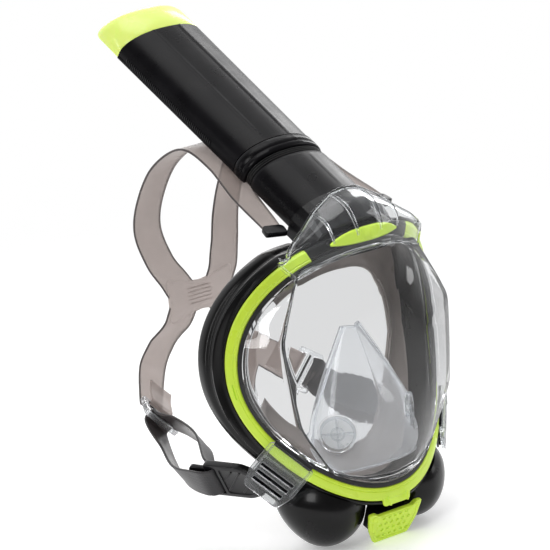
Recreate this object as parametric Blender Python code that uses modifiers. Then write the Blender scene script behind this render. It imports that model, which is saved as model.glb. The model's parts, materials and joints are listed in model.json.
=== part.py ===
"""Full face snorkel mask: visor, frame, silicone skirt, breathing pocket, dry snorkel and harness.

Metres, +Z up, +Y towards the back of the wearer's head, +X towards the wearer's left.
The origin is the centre of the face opening, on the rim's side-point height.
"""
import math

import bmesh
import bpy
from mathutils import Matrix, Vector

TINY = 1e-6
GAP = 0.0004

# Rim: the closed curve on which the frame, visor, gasket, skirt and seal are built.
RIM_HALF_WIDTH = 0.0925
RIM_HALF_HEIGHT = 0.098
RIM_SIDE_Y = -0.028
RIM_SWEEP = 0.052
RIM_LEAN = 0.03
RIM_SIDE_POWER = 0.92
RIM_TOP_POWER = 0.98
RIM_CHIN_NARROWING = 0.10
RIM_SHOULDER_RISE = 0.007
RIM_LOWER_SCALE = 0.95
RIM_STEPS = 48

# Frame ring and the gasket beside it, measured across the band's own face.
RING_HALF_BAND = 0.0047
RING_FRONT = 0.0022
RING_BACK = 0.0026
RING_EDGE = 0.0009
RING_TURN = math.radians(60)
GASKET_WIDTH = 0.0033
GASKET_FRONT = 0.0008
GASKET_BACK = 0.0034
CHIN_TAB_WIDTH = 0.024
CHIN_TAB_DROP = 0.0055
CHIN_TAB_DEPTH = 0.0022
CHIN_TAB_FORWARD = 0.0020

# Visor.
VISOR_WALL = 0.0024
VISOR_FRONT_Y = -0.0870
VISOR_FLAT_SHARE = 0.5
VISOR_CREASE = (
    Vector((0.0, -0.0835, 0.0875)),
    Vector((0.027, -0.0795, 0.0865)),
    Vector((0.053, -0.0665, 0.0825)),
    Vector((0.077, -0.0710, 0.0340)),
    Vector((0.070, -0.0720, -0.0310)),
    Vector((0.045, -0.0715, -0.0720)),
    Vector((0.024, -0.0815, -0.0785)),
    Vector((0.0, -0.0845, -0.0805)),
)

# Crown: the clear hood in front of the snorkel's foot.
CROWN_SPREAD = math.radians(38)
CROWN_RIM = (
    (0.0, Vector((0.0, -0.0580, 0.1285))),
    (0.125, Vector((0.0115, -0.0580, 0.1270))),
    (0.375, Vector((0.0285, -0.0585, 0.1175))),
    (0.625, Vector((0.0400, -0.0600, 0.1080))),
    (0.875, Vector((0.0550, -0.0625, 0.0975))),
    (1.0, Vector((0.0600, -0.0638, 0.0905))),
)
CROWN_BULGE = 0.0036
CROWN_STANDOFF = 0.0068
CROWN_WALL = 0.0022
CROWN_STEPS = 16
BADGE_STEPS = 2
BADGE_HEIGHT = 0.0086
BADGE_THICKNESS = 0.0012

# Silicone skirt, its chin lobes and the inner face seal.
SKIRT_OUT = 0.008
SKIRT_BACK = 0.031
SKIRT_WALL = 0.004
SKIRT_TOP_STEPS = 3
LOBE_X = 0.040
LOBE_Y = -0.046
LOBE_Z = -0.101
LOBE_RADII = (0.0245, 0.031, 0.0290)
LOBE_WALL = 0.0028
SEAL_WALL = 0.0018
SEAL_LIP_HALF_WIDTH = 0.064
SEAL_LIP_TOP = 0.067
SEAL_LIP_BOTTOM = -0.066
SEAL_LIP_Y = -0.040
SEAL_LIP_SWEEP = 0.028

# Orinasal pocket, for the nose and mouth.
POCKET_WALL = 0.0016
POCKET_LEVELS = (
    (0.026, 0.0065, -0.0490, -0.0555),
    (0.008, 0.0180, -0.0490, -0.0640),
    (-0.012, 0.0300, -0.0490, -0.0715),
    (-0.032, 0.0400, -0.0490, -0.0765),
    (-0.050, 0.0440, -0.0490, -0.0785),
    (-0.064, 0.0420, -0.0545, -0.0780),
    (-0.072, 0.0360, -0.0600, -0.0760),
)
POCKET_STEPS = 16
VALVE_X = 0.0335
VALVE_Z = -0.044
VALVE_Y = -0.0655
VALVE_TURN = math.radians(43)
VALVE_RADIUS = 0.0135
VALVE_RING = 0.0022
VALVE_DEPTH = 0.0032
FLAP_THICKNESS = 0.0008

# Purge valve under the chin, in a frame tilted to face forwards and down.
PURGE_ORIGIN = Vector((0.0, -0.074, -0.1175))
PURGE_TILT = math.radians(23)
PURGE_COVER_TOP = 0.050
PURGE_COVER_FOOT = 0.040
PURGE_COVER_HEIGHT = 0.027
PURGE_COVER_WALL = 0.0032
PURGE_HOLE_RADIUS = 0.0011
PURGE_HOLE_PITCH = 0.0055
PURGE_HOLE_ROWS = 3
PURGE_HOLE_COLUMNS = 5
PURGE_HOUSING = (0.028, 0.014, 0.019)
PURGE_WALL = 0.0018
PURGE_SEAT_RADIUS = 0.0068

# Snorkel, in a frame whose Z is the tube's axis and whose -Y is its rounded front.
SNORKEL_ORIGIN = Vector((0.0, -0.036, 0.1036))
SNORKEL_LEAN = math.radians(60)
TUBE_HALF = 0.0345
TUBE_SIDE = 0.006
TUBE_BULGE = 0.018
TUBE_POWER = 2.2
TUBE_WALL = 0.0020
TUBE_STEPS = 14
TUBE_SPLIT = 0.003
SPIGOT_INSET = 0.0015
SPIGOT_LENGTH = 0.014
SOCKET_WALL = 0.0026
SOCKET_FOOT_GAP = 0.0012
SOCKET_FOOT_Z = 0.0945
SOCKET_FOOT_RISE = 0.0125
SOCKET_FOOT_SHARE = 0.90
SOCKET_CLEARANCE = 0.0005
BASE_WALL = 0.0035
BASE_LENGTH = 0.050
FLEX_LENGTH = 0.0062
COLLAR_LENGTH = 0.0135
TUBE_TOP = 0.219
TUBE_TOP_SLOPE = 0.20
TUBE_WIDENING = 0.07
RIB_X = 0.012
DIVIDER_WALL = 0.0014
CAP_HEIGHT = 0.0245
CAP_END_SLOPE = 0.45
CAP_DOME = 0.0120
CAP_WALL = 0.0018

# Float valve in the cap.
FLOAT_RADIUS = 0.0066
FLOAT_LENGTH = 0.013
FLOAT_TRAVEL = 0.006
CAGE_WALL = 0.0012
CAGE_SLACK = 0.0005
PLATE_THICKNESS = 0.0016
EXHAUST_X = 0.0215
EXHAUST_RADIUS = 0.0048
SEAT_BORE = 0.0048

# Harness.
STRAP_WIDTH = 0.025
STRAP_THICKNESS = 0.0016
HUB_SIZE = (0.050, 0.0026, 0.030)
HUB_CENTRE = Vector((0.0, 0.1335, 0.024))
SLIDER_CENTRE = Vector((-0.070, 0.105, -0.0505))
SLIDER_SIZE = (STRAP_WIDTH + 0.009, 0.022, 0.0036)
SLOT_DEPTH = 0.0050
LUG_ANGLE = math.radians(220)
LUG_WIDTH = 0.038
LUG_REACH = 0.034
LUG_INNER = 0.007
LUG_HEIGHT = 0.0032
LUG_WALL = 0.0028
BUCKLE_NOSE = Vector((-0.080, -0.030, -0.0745))
BUCKLE_TAIL = Vector((-0.096, 0.019, -0.0745))
BUCKLE_WIDTH = 0.031
BUCKLE_THICKNESS = 0.0060
BUCKLE_BODY = 0.0445
LEVER_LENGTH = 0.0145
LEVER_THICKNESS = 0.0034
ANCHOR_GAP = 0.0070
ARM_TUCK = 0.0040
ANCHOR_CENTRE = Vector((-(TUBE_HALF + STRAP_WIDTH / 2 + ANCHOR_GAP), -0.036, 0.1060))

LIME = (0.56, 0.76, 0.07, 1.0)
BLACK = (0.016, 0.015, 0.018, 1.0)
SMOKE = (0.36, 0.32, 0.30, 1.0)
CLEAR = (0.86, 0.90, 0.92, 1.0)


def clear_scene():
    for item in list(bpy.data.objects):
        bpy.data.objects.remove(item)


def new_collection(name):
    collection = bpy.data.collections.new(name)
    bpy.context.scene.collection.children.link(collection)
    return collection


clear_scene()
SNORKEL_MASK = new_collection("full_face_snorkel")
CUTTERS = new_collection("cutters")


def principled(name, colour, roughness, transmission=0.0):
    material = bpy.data.materials.new(name)
    material.use_nodes = True
    shader = material.node_tree.nodes["Principled BSDF"]
    shader.inputs["Base Color"].default_value = colour
    shader.inputs["Roughness"].default_value = roughness
    shader.inputs["Metallic"].default_value = 0.0
    shader.inputs["Transmission Weight"].default_value = transmission
    material.diffuse_color = colour
    return material


def add_object(name, mesh, colour, roughness=0.4, frame=None, transmission=0.0):
    """One named sub-part in the snorkel's collection, with its own material."""
    item = bpy.data.objects.new(name, mesh)
    SNORKEL_MASK.objects.link(item)
    mesh.materials.append(principled(name + "_material", colour, roughness, transmission))
    if frame is not None:
        item.matrix_world = frame
    mesh.shade_smooth()
    mesh.set_sharp_from_angle(angle=math.radians(35))
    return item


def add_cutter(name, mesh, frame=None):
    item = bpy.data.objects.new(name, mesh)
    CUTTERS.objects.link(item)
    item.hide_render = True
    item.display_type = "WIRE"
    if frame is not None:
        item.matrix_world = frame
    return item


def to_mesh(name, bm):
    bmesh.ops.recalc_face_normals(bm, faces=bm.faces)
    mesh = bpy.data.meshes.new(name)
    bm.to_mesh(mesh)
    bm.free()
    return mesh


def combine(item, other, operation):
    modifier = item.modifiers.new(operation.lower() + "_" + other.name, "BOOLEAN")
    modifier.operation = operation
    modifier.object = other
    modifier.solver = "EXACT"


def solidify(item, thickness, offset=-1.0):
    modifier = item.modifiers.new("wall", "SOLIDIFY")
    modifier.thickness = thickness
    modifier.offset = offset
    modifier.use_even_offset = True


def bevel(item, width, segments=1):
    modifier = item.modifiers.new("edges", "BEVEL")
    modifier.width = width
    modifier.segments = segments
    modifier.limit_method = "ANGLE"
    modifier.angle_limit = math.radians(40)


def box_mesh(name, size, centre=(0.0, 0.0, 0.0)):
    bm = bmesh.new()
    place = Matrix.Translation(centre) @ Matrix.Diagonal((*size, 1.0))
    bmesh.ops.create_cube(bm, size=1.0, matrix=place)
    return to_mesh(name, bm)


def disc_mesh(name, radius, depth, axis="Y", centre=(0.0, 0.0, 0.0), segments=24, top_radius=None):
    """A closed disc or short cylinder, centred, with its axis along Y or Z."""
    turn = Matrix.Rotation(math.radians(90), 4, "X") if axis == "Y" else Matrix.Identity(4)
    bm = bmesh.new()
    bmesh.ops.create_cone(
        bm,
        cap_ends=True,
        segments=segments,
        radius1=radius,
        radius2=radius if top_radius is None else top_radius,
        depth=depth,
        matrix=Matrix.Translation(centre) @ turn,
    )
    return to_mesh(name, bm)


def ball_mesh(name, radii, centre, segments=20, rings=12):
    bm = bmesh.new()
    place = Matrix.Translation(centre) @ Matrix.Diagonal((*radii, 1.0))
    bmesh.ops.create_uvsphere(bm, u_segments=segments, v_segments=rings, radius=1.0, matrix=place)
    return to_mesh(name, bm)


def loft_mesh(name, sections, closed=False):
    """Skins equal point loops one after another; open ends are capped unless the loft is closed."""
    bm = bmesh.new()
    loops = [[bm.verts.new(point) for point in section] for section in sections]
    pairs = list(zip(loops, loops[1:]))
    if closed:
        pairs.append((loops[-1], loops[0]))
    for first, second in pairs:
        count = len(first)
        for i in range(count):
            j = (i + 1) % count
            bm.faces.new((first[i], first[j], second[j], second[i]))
    if not closed:
        bm.faces.new(loops[0])
        bm.faces.new(loops[-1])
    return to_mesh(name, bm)


def sheet_mesh(name, rows, wrap=False):
    """An open surface through rows of equal length; wrap joins each row's ends."""
    bm = bmesh.new()
    grid = [[bm.verts.new(point) for point in row] for row in rows]
    for first, second in zip(grid, grid[1:]):
        count = len(first)
        for i in range(count if wrap else count - 1):
            j = (i + 1) % count
            bm.faces.new((first[i], first[j], second[j], second[i]))
    return to_mesh(name, bm)


def frame_of(origin, along, across):
    """A placement whose X is across, whose Y is along, and whose Z is their normal."""
    y = along.normalized()
    x = (across - across.dot(y) * y).normalized()
    z = x.cross(y)
    turn = Matrix((x, y, z)).transposed().to_4x4()
    return Matrix.Translation(origin) @ turn


def mirrored(frame):
    """The same placement on the other side of the mask, still right-handed."""
    flip = Matrix.Diagonal((-1.0, 1.0, 1.0, 1.0))
    return flip @ frame @ flip


# ---- Rim -------------------------------------------------------------------------------------


def signed_power(value, exponent):
    return math.copysign(abs(value) ** exponent, value)


def rim_outline(angle):
    x = RIM_HALF_WIDTH * signed_power(math.cos(angle), RIM_SIDE_POWER)
    z = RIM_HALF_HEIGHT * signed_power(math.sin(angle), RIM_TOP_POWER)
    low = max(0.0, -z / RIM_HALF_HEIGHT)
    x *= 1.0 - RIM_CHIN_NARROWING * low**2
    z += RIM_SHOULDER_RISE * (1.0 - (z / RIM_HALF_HEIGHT) ** 2)
    if z < 0.0:
        z *= RIM_LOWER_SCALE
    return x, z


def rim_normal(angle):
    step = 0.01
    x0, z0 = rim_outline(angle - step)
    x1, z1 = rim_outline(angle + step)
    return Vector((z1 - z0, 0.0, x0 - x1)).normalized()


def rim_depth(x, z):
    return RIM_SIDE_Y - RIM_SWEEP * (1.0 - (x / RIM_HALF_WIDTH) ** 2) + RIM_LEAN * z


def rim_point(angle, out=0.0, back=0.0):
    """A point beside the rim: out from the opening's centre, and back towards the head."""
    x, z = rim_outline(angle)
    y = rim_depth(x, z)
    return Vector((x, y + back, z)) + out * rim_normal(angle)


def band_point(angle, across, depth):
    """A point beside the rim measured on the band, whose face turns outwards at the sides."""
    turn = RING_TURN * math.cos(angle) ** 2
    out = across * math.cos(turn) - depth * math.sin(turn)
    back = across * math.sin(turn) + depth * math.cos(turn)
    return rim_point(angle, out, back)


def band(across, depth):
    return lambda angle: band_point(angle, across, depth)


def flat(out, back):
    return lambda angle: rim_point(angle, out, back)


def rim_angles(start=0.0, sweep=2 * math.pi, steps=RIM_STEPS):
    whole = sweep > 2 * math.pi - TINY
    return [start + sweep * i / steps for i in range(steps if whole else steps + 1)]


def rim_loft(name, section, start=0.0, sweep=2 * math.pi, steps=RIM_STEPS):
    whole = sweep > 2 * math.pi - TINY
    angles = rim_angles(start, sweep, steps)
    return loft_mesh(name, [[place(angle) for place in section] for angle in angles], whole)


def frame_ring():
    half, edge = RING_HALF_BAND, RING_EDGE
    section = [
        band(-half + edge, -RING_FRONT),
        band(half - edge, -RING_FRONT),
        band(half, -RING_FRONT + edge),
        band(half, RING_BACK),
        band(-half, RING_BACK),
        band(-half, -RING_FRONT + edge),
    ]
    ring = add_object("frame_ring", rim_loft("frame_ring", section), LIME, 0.35)
    foot = rim_point(1.5 * math.pi)
    size = (CHIN_TAB_WIDTH, CHIN_TAB_DEPTH, CHIN_TAB_DROP + RING_HALF_BAND)
    centre = foot - Vector((0.0, CHIN_TAB_FORWARD, size[2] / 2))
    combine(ring, add_cutter("chin_tab", box_mesh("chin_tab", size, centre)), "UNION")
    return ring


def gasket_outer():
    return -RING_HALF_BAND - GAP


def visor_edge():
    return gasket_outer() - GASKET_WIDTH - GAP


def lens_gasket():
    outer = gasket_outer()
    inner = outer - GASKET_WIDTH
    section = [
        band(inner, -GASKET_FRONT),
        band(outer, -GASKET_FRONT),
        band(outer, GASKET_BACK),
        band(inner, GASKET_BACK),
    ]
    return add_object("lens_gasket", rim_loft("lens_gasket", section), BLACK, 0.5)


# ---- Visor -----------------------------------------------------------------------------------


def visor_crease(angle):
    """Where a ray from the centre, in the direction of this rim point, meets the crease polygon."""
    x, z = rim_outline(angle)
    corners = list(VISOR_CREASE) + [flipped(corner) for corner in reversed(VISOR_CREASE[1:-1])]
    for first, second in zip(corners, corners[1:] + corners[:1]):
        before = first.x * z - first.z * x
        after = second.x * z - second.z * x
        if before * after > 0.0 or first.x * x + first.z * z <= 0.0:
            continue
        if second.x * x + second.z * z <= 0.0:
            continue
        return first.lerp(second, before / (before - after))
    return corners[0].copy()


def visor_pane(angle, share):
    """The front pane: flat in the middle, curving back to the crease."""
    crease = visor_crease(angle)
    bend = max(0.0, (share - VISOR_FLAT_SHARE) / (1.0 - VISOR_FLAT_SHARE))
    y = VISOR_FRONT_Y + (crease.y - VISOR_FRONT_Y) * bend**1.6
    return Vector((crease.x * share, y, crease.z * share))


def inward(point, depth):
    """The same place on the inside of the visor's wall."""
    reach = math.hypot(point.x, point.z)
    shrink = 1.0 - depth / reach
    return Vector((point.x * shrink, point.y + depth, point.z * shrink))


def crown_angle(share):
    return 0.5 * math.pi - CROWN_SPREAD * share


def crown_rim(share):
    """The crown's open edge: a short flat top, then straight shoulders down to each side."""
    for (start, low), (end, high) in zip(CROWN_RIM, CROWN_RIM[1:]):
        if start <= abs(share) <= end:
            point = low.lerp(high, (abs(share) - start) / (end - start))
            return Vector((math.copysign(point.x, share), point.y, point.z))


def crown_rows():
    shares = [-1.0 + 2.0 * i / CROWN_STEPS for i in range(CROWN_STEPS + 1)]
    foot = [band_point(crown_angle(s), visor_edge() - 0.0008, -CROWN_STANDOFF) for s in shares]
    brow = [band_point(crown_angle(s), RING_HALF_BAND + 0.001, -CROWN_STANDOFF) for s in shares]
    rim = [crown_rim(s) for s in shares]
    bulge = Vector((0.0, -CROWN_BULGE, CROWN_BULGE))
    middle = []
    for share, low, high in zip(shares, brow, rim):
        middle.append(low.lerp(high, 0.5) + bulge * math.cos(share * 0.5 * math.pi))
    return [foot, brow, middle, rim]


def visor_lens():
    """The clear visor, moulded in one with the crown over the snorkel's foot."""
    edge = visor_edge()
    angles = rim_angles()
    crease = [visor_crease(a) for a in angles]
    near_pane = [visor_pane(a, 0.78) for a in angles]
    flat_pane = [visor_pane(a, VISOR_FLAT_SHARE) for a in angles]
    outside = [
        [band_point(a, edge, 0.0020) for a in angles],
        [band_point(a, edge, -0.0015) for a in angles],
        crease,
        near_pane,
        flat_pane,
    ]
    inside = [
        [band_point(a, edge - VISOR_WALL, 0.0020) for a in angles],
        [band_point(a, edge - VISOR_WALL, -0.0005) for a in angles],
        [inward(point, VISOR_WALL) for point in crease],
        [point + Vector((0.0, VISOR_WALL, 0.0)) for point in near_pane],
        [point + Vector((0.0, VISOR_WALL, 0.0)) for point in flat_pane],
    ]
    mesh = loft_mesh("visor_lens", outside[::-1] + inside)
    lens = add_object("visor_lens", mesh, CLEAR, 0.05, transmission=0.9)
    crown = add_cutter("visor_crown", sheet_mesh("visor_crown", crown_rows()))
    solidify(crown, CROWN_WALL)
    combine(lens, crown, "UNION")
    return lens


def top_badge():
    """A blank plate on the ring's face, seen through the crown."""
    near = -RING_FRONT - GAP
    half = BADGE_HEIGHT / 2
    section = [
        band(-half, near - BADGE_THICKNESS),
        band(half, near - BADGE_THICKNESS),
        band(half, near),
        band(-half, near),
    ]
    step = 2 * math.pi / RIM_STEPS
    start = 0.5 * math.pi - BADGE_STEPS * step
    mesh = rim_loft("top_badge", section, start, 2 * BADGE_STEPS * step, 2 * BADGE_STEPS)
    return add_object("top_badge", mesh, LIME, 0.35)


# ---- Skirt, lobes and seal -------------------------------------------------------------------


def outer_skirt():
    out, back, wall = SKIRT_OUT, SKIRT_BACK, SKIRT_WALL
    depth = RING_BACK + 2 * GAP
    lip = RING_HALF_BAND + 2 * GAP
    section = [
        band(-0.0030, depth + 0.0002),
        band(lip + 0.0005, depth),
        band(lip + 0.0005, -0.0005),
        band(lip + 0.0027, 0.0005),
        flat(out, 0.015),
        flat(out, back - 0.004),
        flat(out - 0.0015, back),
        flat(out - wall - 0.0005, back),
        flat(out - wall, back - 0.005),
        flat(out - wall - 0.0002, 0.014),
        band(-0.0035, depth + 0.0022),
    ]
    step = 2 * math.pi / RIM_STEPS
    start = 0.5 * math.pi + SKIRT_TOP_STEPS * step
    steps = RIM_STEPS - 2 * SKIRT_TOP_STEPS
    mesh = rim_loft("outer_skirt", section, start, steps * step, steps)
    return add_object("outer_skirt", mesh, BLACK, 0.25)


def seal_lip(angle):
    x = SEAL_LIP_HALF_WIDTH * signed_power(math.cos(angle), 0.9)
    height = math.sin(angle)
    z = SEAL_LIP_TOP * height if height > 0.0 else -SEAL_LIP_BOTTOM * height
    y = SEAL_LIP_Y + SEAL_LIP_SWEEP * (x / SEAL_LIP_HALF_WIDTH) ** 2
    return Vector((x, y, z))


def face_seal():
    angles = rim_angles(steps=40)
    rear = [rim_point(a, -0.008, 0.027) for a in angles]
    lip = [seal_lip(a) for a in angles]
    rows = [
        [band_point(a, -0.0075, 0.0058) for a in angles],
        [rim_point(a, -0.0070, 0.018) for a in angles],
        rear,
        [a.lerp(b, 0.5) + Vector((0.0, 0.004, 0.0)) for a, b in zip(rear, lip)],
        lip,
    ]
    seal = add_object("face_seal", sheet_mesh("face_seal", rows, wrap=True), SMOKE, 0.3, transmission=0.5)
    solidify(seal, SEAL_WALL)
    return seal


def rim_plug():
    """Everything inside and behind the skirt's outline, with clearance, used to open the chin lobes."""
    section = [[rim_point(a, SKIRT_OUT + 0.0008, back) for a in rim_angles()] for back in (-0.012, 0.045)]
    return add_cutter("rim_plug", loft_mesh("rim_plug", section))


def chin_lobes():
    plug = rim_plug()
    for side, name in ((-1, "chin_lobe_r"), (1, "chin_lobe_l")):
        centre = (side * LOBE_X, LOBE_Y, LOBE_Z)
        inner = [radius - LOBE_WALL for radius in LOBE_RADII]
        lobe = add_object(name, ball_mesh(name, LOBE_RADII, centre), BLACK, 0.25)
        hollow = ball_mesh(name + "_hollow", inner, centre)
        combine(lobe, add_cutter(name + "_hollow", hollow), "DIFFERENCE")
        combine(lobe, plug, "DIFFERENCE")


# ---- Orinasal pocket -------------------------------------------------------------------------


def pocket_row(level):
    z, half, back_y, front_y = level
    row = []
    for i in range(POCKET_STEPS + 1):
        turn = math.pi * i / POCKET_STEPS
        x = -half * math.cos(turn)
        y = back_y + (front_y - back_y) * math.sin(turn) ** 0.8
        row.append(Vector((x, y, z)))
    return row


def valve_frame(side):
    turn = Matrix.Rotation(side * VALVE_TURN, 4, "Z")
    return Matrix.Translation((side * VALVE_X, VALVE_Y, VALVE_Z)) @ turn


def orinasal_pocket():
    mesh = sheet_mesh("orinasal_pocket", [pocket_row(level) for level in POCKET_LEVELS])
    pocket = add_object("orinasal_pocket", mesh, CLEAR, 0.15, transmission=0.8)
    solidify(pocket, POCKET_WALL)
    for side in (-1, 1):
        name = f"valve_port_{side}"
        port = disc_mesh(name, VALVE_RADIUS + GAP, 0.030)
        combine(pocket, add_cutter(name, port, valve_frame(side)), "DIFFERENCE")
    return pocket


def inhale_valves():
    for side, mark in ((-1, "r"), (1, "l")):
        frame = valve_frame(side)
        name = "inhale_valve_seat_" + mark
        seat = add_object(name, disc_mesh(name, VALVE_RADIUS, VALVE_DEPTH), CLEAR, 0.2, frame)
        bore = disc_mesh(name + "_bore", VALVE_RADIUS - VALVE_RING, 0.02)
        combine(seat, add_cutter(name + "_bore", bore, frame), "DIFFERENCE")
        span = 2 * VALVE_RADIUS - VALVE_RING
        for i, size in enumerate(((span, 0.0018, 0.0016), (0.0016, 0.0018, span))):
            spoke = box_mesh(f"{name}_spoke_{i}", size)
            combine(seat, add_cutter(f"{name}_spoke_{i}", spoke, frame), "UNION")
        name = "inhale_valve_flap_" + mark
        back = VALVE_DEPTH / 2 + GAP + FLAP_THICKNESS / 2
        flap = disc_mesh(name, VALVE_RADIUS - 0.0008, FLAP_THICKNESS, centre=(0.0, back, 0.0))
        add_object(name, flap, SMOKE, 0.4, frame)


# ---- Purge valve -----------------------------------------------------------------------------


def purge_frame():
    return Matrix.Translation(PURGE_ORIGIN) @ Matrix.Rotation(PURGE_TILT, 4, "X")


def purge_cover():
    top, foot, high = PURGE_COVER_TOP / 2, PURGE_COVER_FOOT / 2, PURGE_COVER_HEIGHT / 2
    wall = PURGE_COVER_WALL
    outline = [(-foot, -high), (foot, -high), (top, high), (-top, high)]
    sections = [[Vector((x, y, z)) for x, z in outline] for y in (-wall, 0.0)]
    cover = add_object("purge_cover", loft_mesh("purge_cover", sections), LIME, 0.35, purge_frame())
    bevel(cover, 0.0010, 2)
    for row in range(PURGE_HOLE_ROWS):
        for column in range(PURGE_HOLE_COLUMNS):
            x = (column - (PURGE_HOLE_COLUMNS - 1) / 2) * PURGE_HOLE_PITCH
            z = (row - (PURGE_HOLE_ROWS - 1) / 2) * PURGE_HOLE_PITCH
            name = f"purge_hole_{row}_{column}"
            hole = disc_mesh(name, PURGE_HOLE_RADIUS, 4 * wall, centre=(x, 0.0, z), segments=8)
            combine(cover, add_cutter(name, hole, purge_frame()), "DIFFERENCE")
    return cover


def purge_housing():
    wide, deep, high = PURGE_HOUSING
    frame = purge_frame()
    centre = (0.0, GAP + deep / 2, 0.0)
    block = box_mesh("purge_housing", PURGE_HOUSING, centre)
    housing = add_object("purge_housing", block, BLACK, 0.4, frame)
    bevel(housing, 0.0012)
    hollow_size = (wide - 2 * PURGE_WALL, deep, high - 2 * PURGE_WALL)
    hollow = box_mesh("purge_hollow", hollow_size, (0.0, GAP + deep / 2 - 0.003, 0.0))
    combine(housing, add_cutter("purge_hollow", hollow, frame), "DIFFERENCE")
    port = disc_mesh("purge_port", PURGE_SEAT_RADIUS + GAP, 0.02, centre=(0.0, deep, 0.0))
    combine(housing, add_cutter("purge_port", port, frame), "DIFFERENCE")
    return housing


def purge_valve():
    frame = purge_frame()
    back = GAP + PURGE_HOUSING[1]
    seat_y = back - 0.0015
    name = "purge_valve_seat"
    plate = disc_mesh(name, PURGE_SEAT_RADIUS, 0.003, centre=(0, seat_y, 0))
    seat = add_object(name, plate, BLACK, 0.4, frame)
    bore = disc_mesh("purge_bore", PURGE_SEAT_RADIUS - 0.0016, 0.02, centre=(0, seat_y, 0))
    combine(seat, add_cutter("purge_bore", bore, frame), "DIFFERENCE")
    for i in range(3):
        size = (2 * PURGE_SEAT_RADIUS - 0.001, 0.0016, 0.0011)
        spoke_frame = frame @ Matrix.Translation((0, seat_y, 0)) @ Matrix.Rotation(math.pi * i / 3, 4, "Y")
        spoke = box_mesh(f"purge_spoke_{i}", size)
        combine(seat, add_cutter(f"purge_spoke_{i}", spoke, spoke_frame), "UNION")
    flap_y = seat_y - 0.0015 - GAP - FLAP_THICKNESS / 2
    flap = disc_mesh("purge_membrane", PURGE_SEAT_RADIUS + 0.0004, FLAP_THICKNESS, centre=(0, flap_y, 0))
    add_object("purge_membrane", flap, SMOKE, 0.4, frame)


# ---- Snorkel ---------------------------------------------------------------------------------


def snorkel_frame():
    return Matrix.Translation(SNORKEL_ORIGIN) @ Matrix.Rotation(-SNORKEL_LEAN, 4, "X")


def tube_half(z, grow):
    widening = 1.0 + TUBE_WIDENING * max(0.0, z - BASE_LENGTH) / (TUBE_TOP - BASE_LENGTH)
    return TUBE_HALF * widening + grow


def tube_front(x, z, grow):
    """How far forward the tube's rounded front lies at this place across it."""
    share = min(1.0, abs(x) / tube_half(z, grow))
    return TUBE_SIDE + (TUBE_BULGE + grow) * (1.0 - share**TUBE_POWER) ** (1.0 / 2.0)


def d_section(z, grow=0.0, slope=0.0):
    """The tube's D outline: flat at the back, rounded in front; slope tilts its plane."""
    half = tube_half(z, grow)
    points = [(-half, grow)]
    for i in range(TUBE_STEPS + 1):
        x = -half * math.cos(math.pi * i / TUBE_STEPS)
        points.append((x, -tube_front(x, z, grow)))
    points.append((half, grow))
    return [Vector((x, y, z + slope * y)) for x, y in points]


def d_tube(name, low, high, outer, inner, low_slope=0.0, high_slope=0.0):
    """A closed loft round a hollow D tube: out along the outside, back along the inside."""
    sections = [
        d_section(low, outer, low_slope),
        d_section(high, outer, high_slope),
        d_section(high, inner, high_slope),
        d_section(low, inner, low_slope),
    ]
    return loft_mesh(name, sections, closed=True)


def socket_foot(grow):
    """The socket's lower mouth, behind the top of the ring, drawn in from the D outline."""
    depth = TUBE_SIDE + TUBE_BULGE
    to_local = snorkel_frame().inverted()
    section = []
    for point in d_section(0.0, grow):
        rise = SOCKET_FOOT_RISE * -point.y / depth
        x = point.x * SOCKET_FOOT_SHARE
        y = rim_depth(x, RIM_HALF_HEIGHT) + RING_BACK + SOCKET_FOOT_GAP
        place = Vector((x, y, SOCKET_FOOT_Z + rise))
        section.append(to_local @ place)
    return section


def snorkel_socket():
    """The sleeve that takes the snorkel's foot, with a duct that leads down behind the ring."""
    inner = SOCKET_CLEARANCE
    outer = inner + SOCKET_WALL
    low = -SPIGOT_LENGTH - 0.001
    sections = [
        socket_foot(outer - 0.001),
        d_section(low, outer),
        d_section(-0.0015, outer),
        d_section(-0.0015, inner),
        d_section(low, inner),
        socket_foot(inner - 0.001),
    ]
    mesh = loft_mesh("snorkel_socket", sections, closed=True)
    return add_object("snorkel_socket", mesh, BLACK, 0.4, snorkel_frame())


def snorkel_base():
    spigot = -SPIGOT_INSET
    sections = [
        d_section(-SPIGOT_LENGTH, spigot),
        d_section(0.0, spigot),
        d_section(0.0002, 0.0),
        d_section(BASE_LENGTH, 0.0),
        d_section(BASE_LENGTH, -BASE_WALL),
        d_section(-SPIGOT_LENGTH, -BASE_WALL),
    ]
    mesh = loft_mesh("snorkel_base", sections, closed=True)
    return add_object("snorkel_base", mesh, BLACK, 0.25, snorkel_frame())


def socket_gasket():
    mesh = d_tube("socket_gasket", -0.010, -0.0075, SOCKET_CLEARANCE - 0.0003, -SPIGOT_INSET + 0.0003)
    return add_object("socket_gasket", mesh, BLACK, 0.6, snorkel_frame())


def flexible_joint():
    low = BASE_LENGTH + GAP
    mesh = d_tube("flexible_joint", low, low + FLEX_LENGTH - 2 * GAP, -0.0008, -0.0034)
    return add_object("flexible_joint", mesh, BLACK, 0.6, snorkel_frame())


def collar_bottom():
    return BASE_LENGTH + FLEX_LENGTH


def shell_bottom():
    return collar_bottom() + COLLAR_LENGTH + GAP


def snorkel_collar():
    low = collar_bottom()
    mesh = d_tube("snorkel_collar", low, low + COLLAR_LENGTH, 0.0006, -TUBE_WALL)
    return add_object("snorkel_collar", mesh, BLACK, 0.15, snorkel_frame())


def front_arch(z, split, wall, slope):
    """Outline of the front shell: over the outside and back along the inside."""
    outer = [p for p in d_section(z, 0.0, 0.0) if p.y < -split]
    inner = [p for p in d_section(z, -wall, 0.0) if p.y < -split]
    half = tube_half(z, 0.0)
    outer = [Vector((-half, -split, z))] + outer + [Vector((half, -split, z))]
    inner = [Vector((-half + wall, -split, z))] + inner + [Vector((half - wall, -split, z))]
    return [Vector((p.x, p.y, p.z + slope * p.y)) for p in outer + inner[::-1]]


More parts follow.
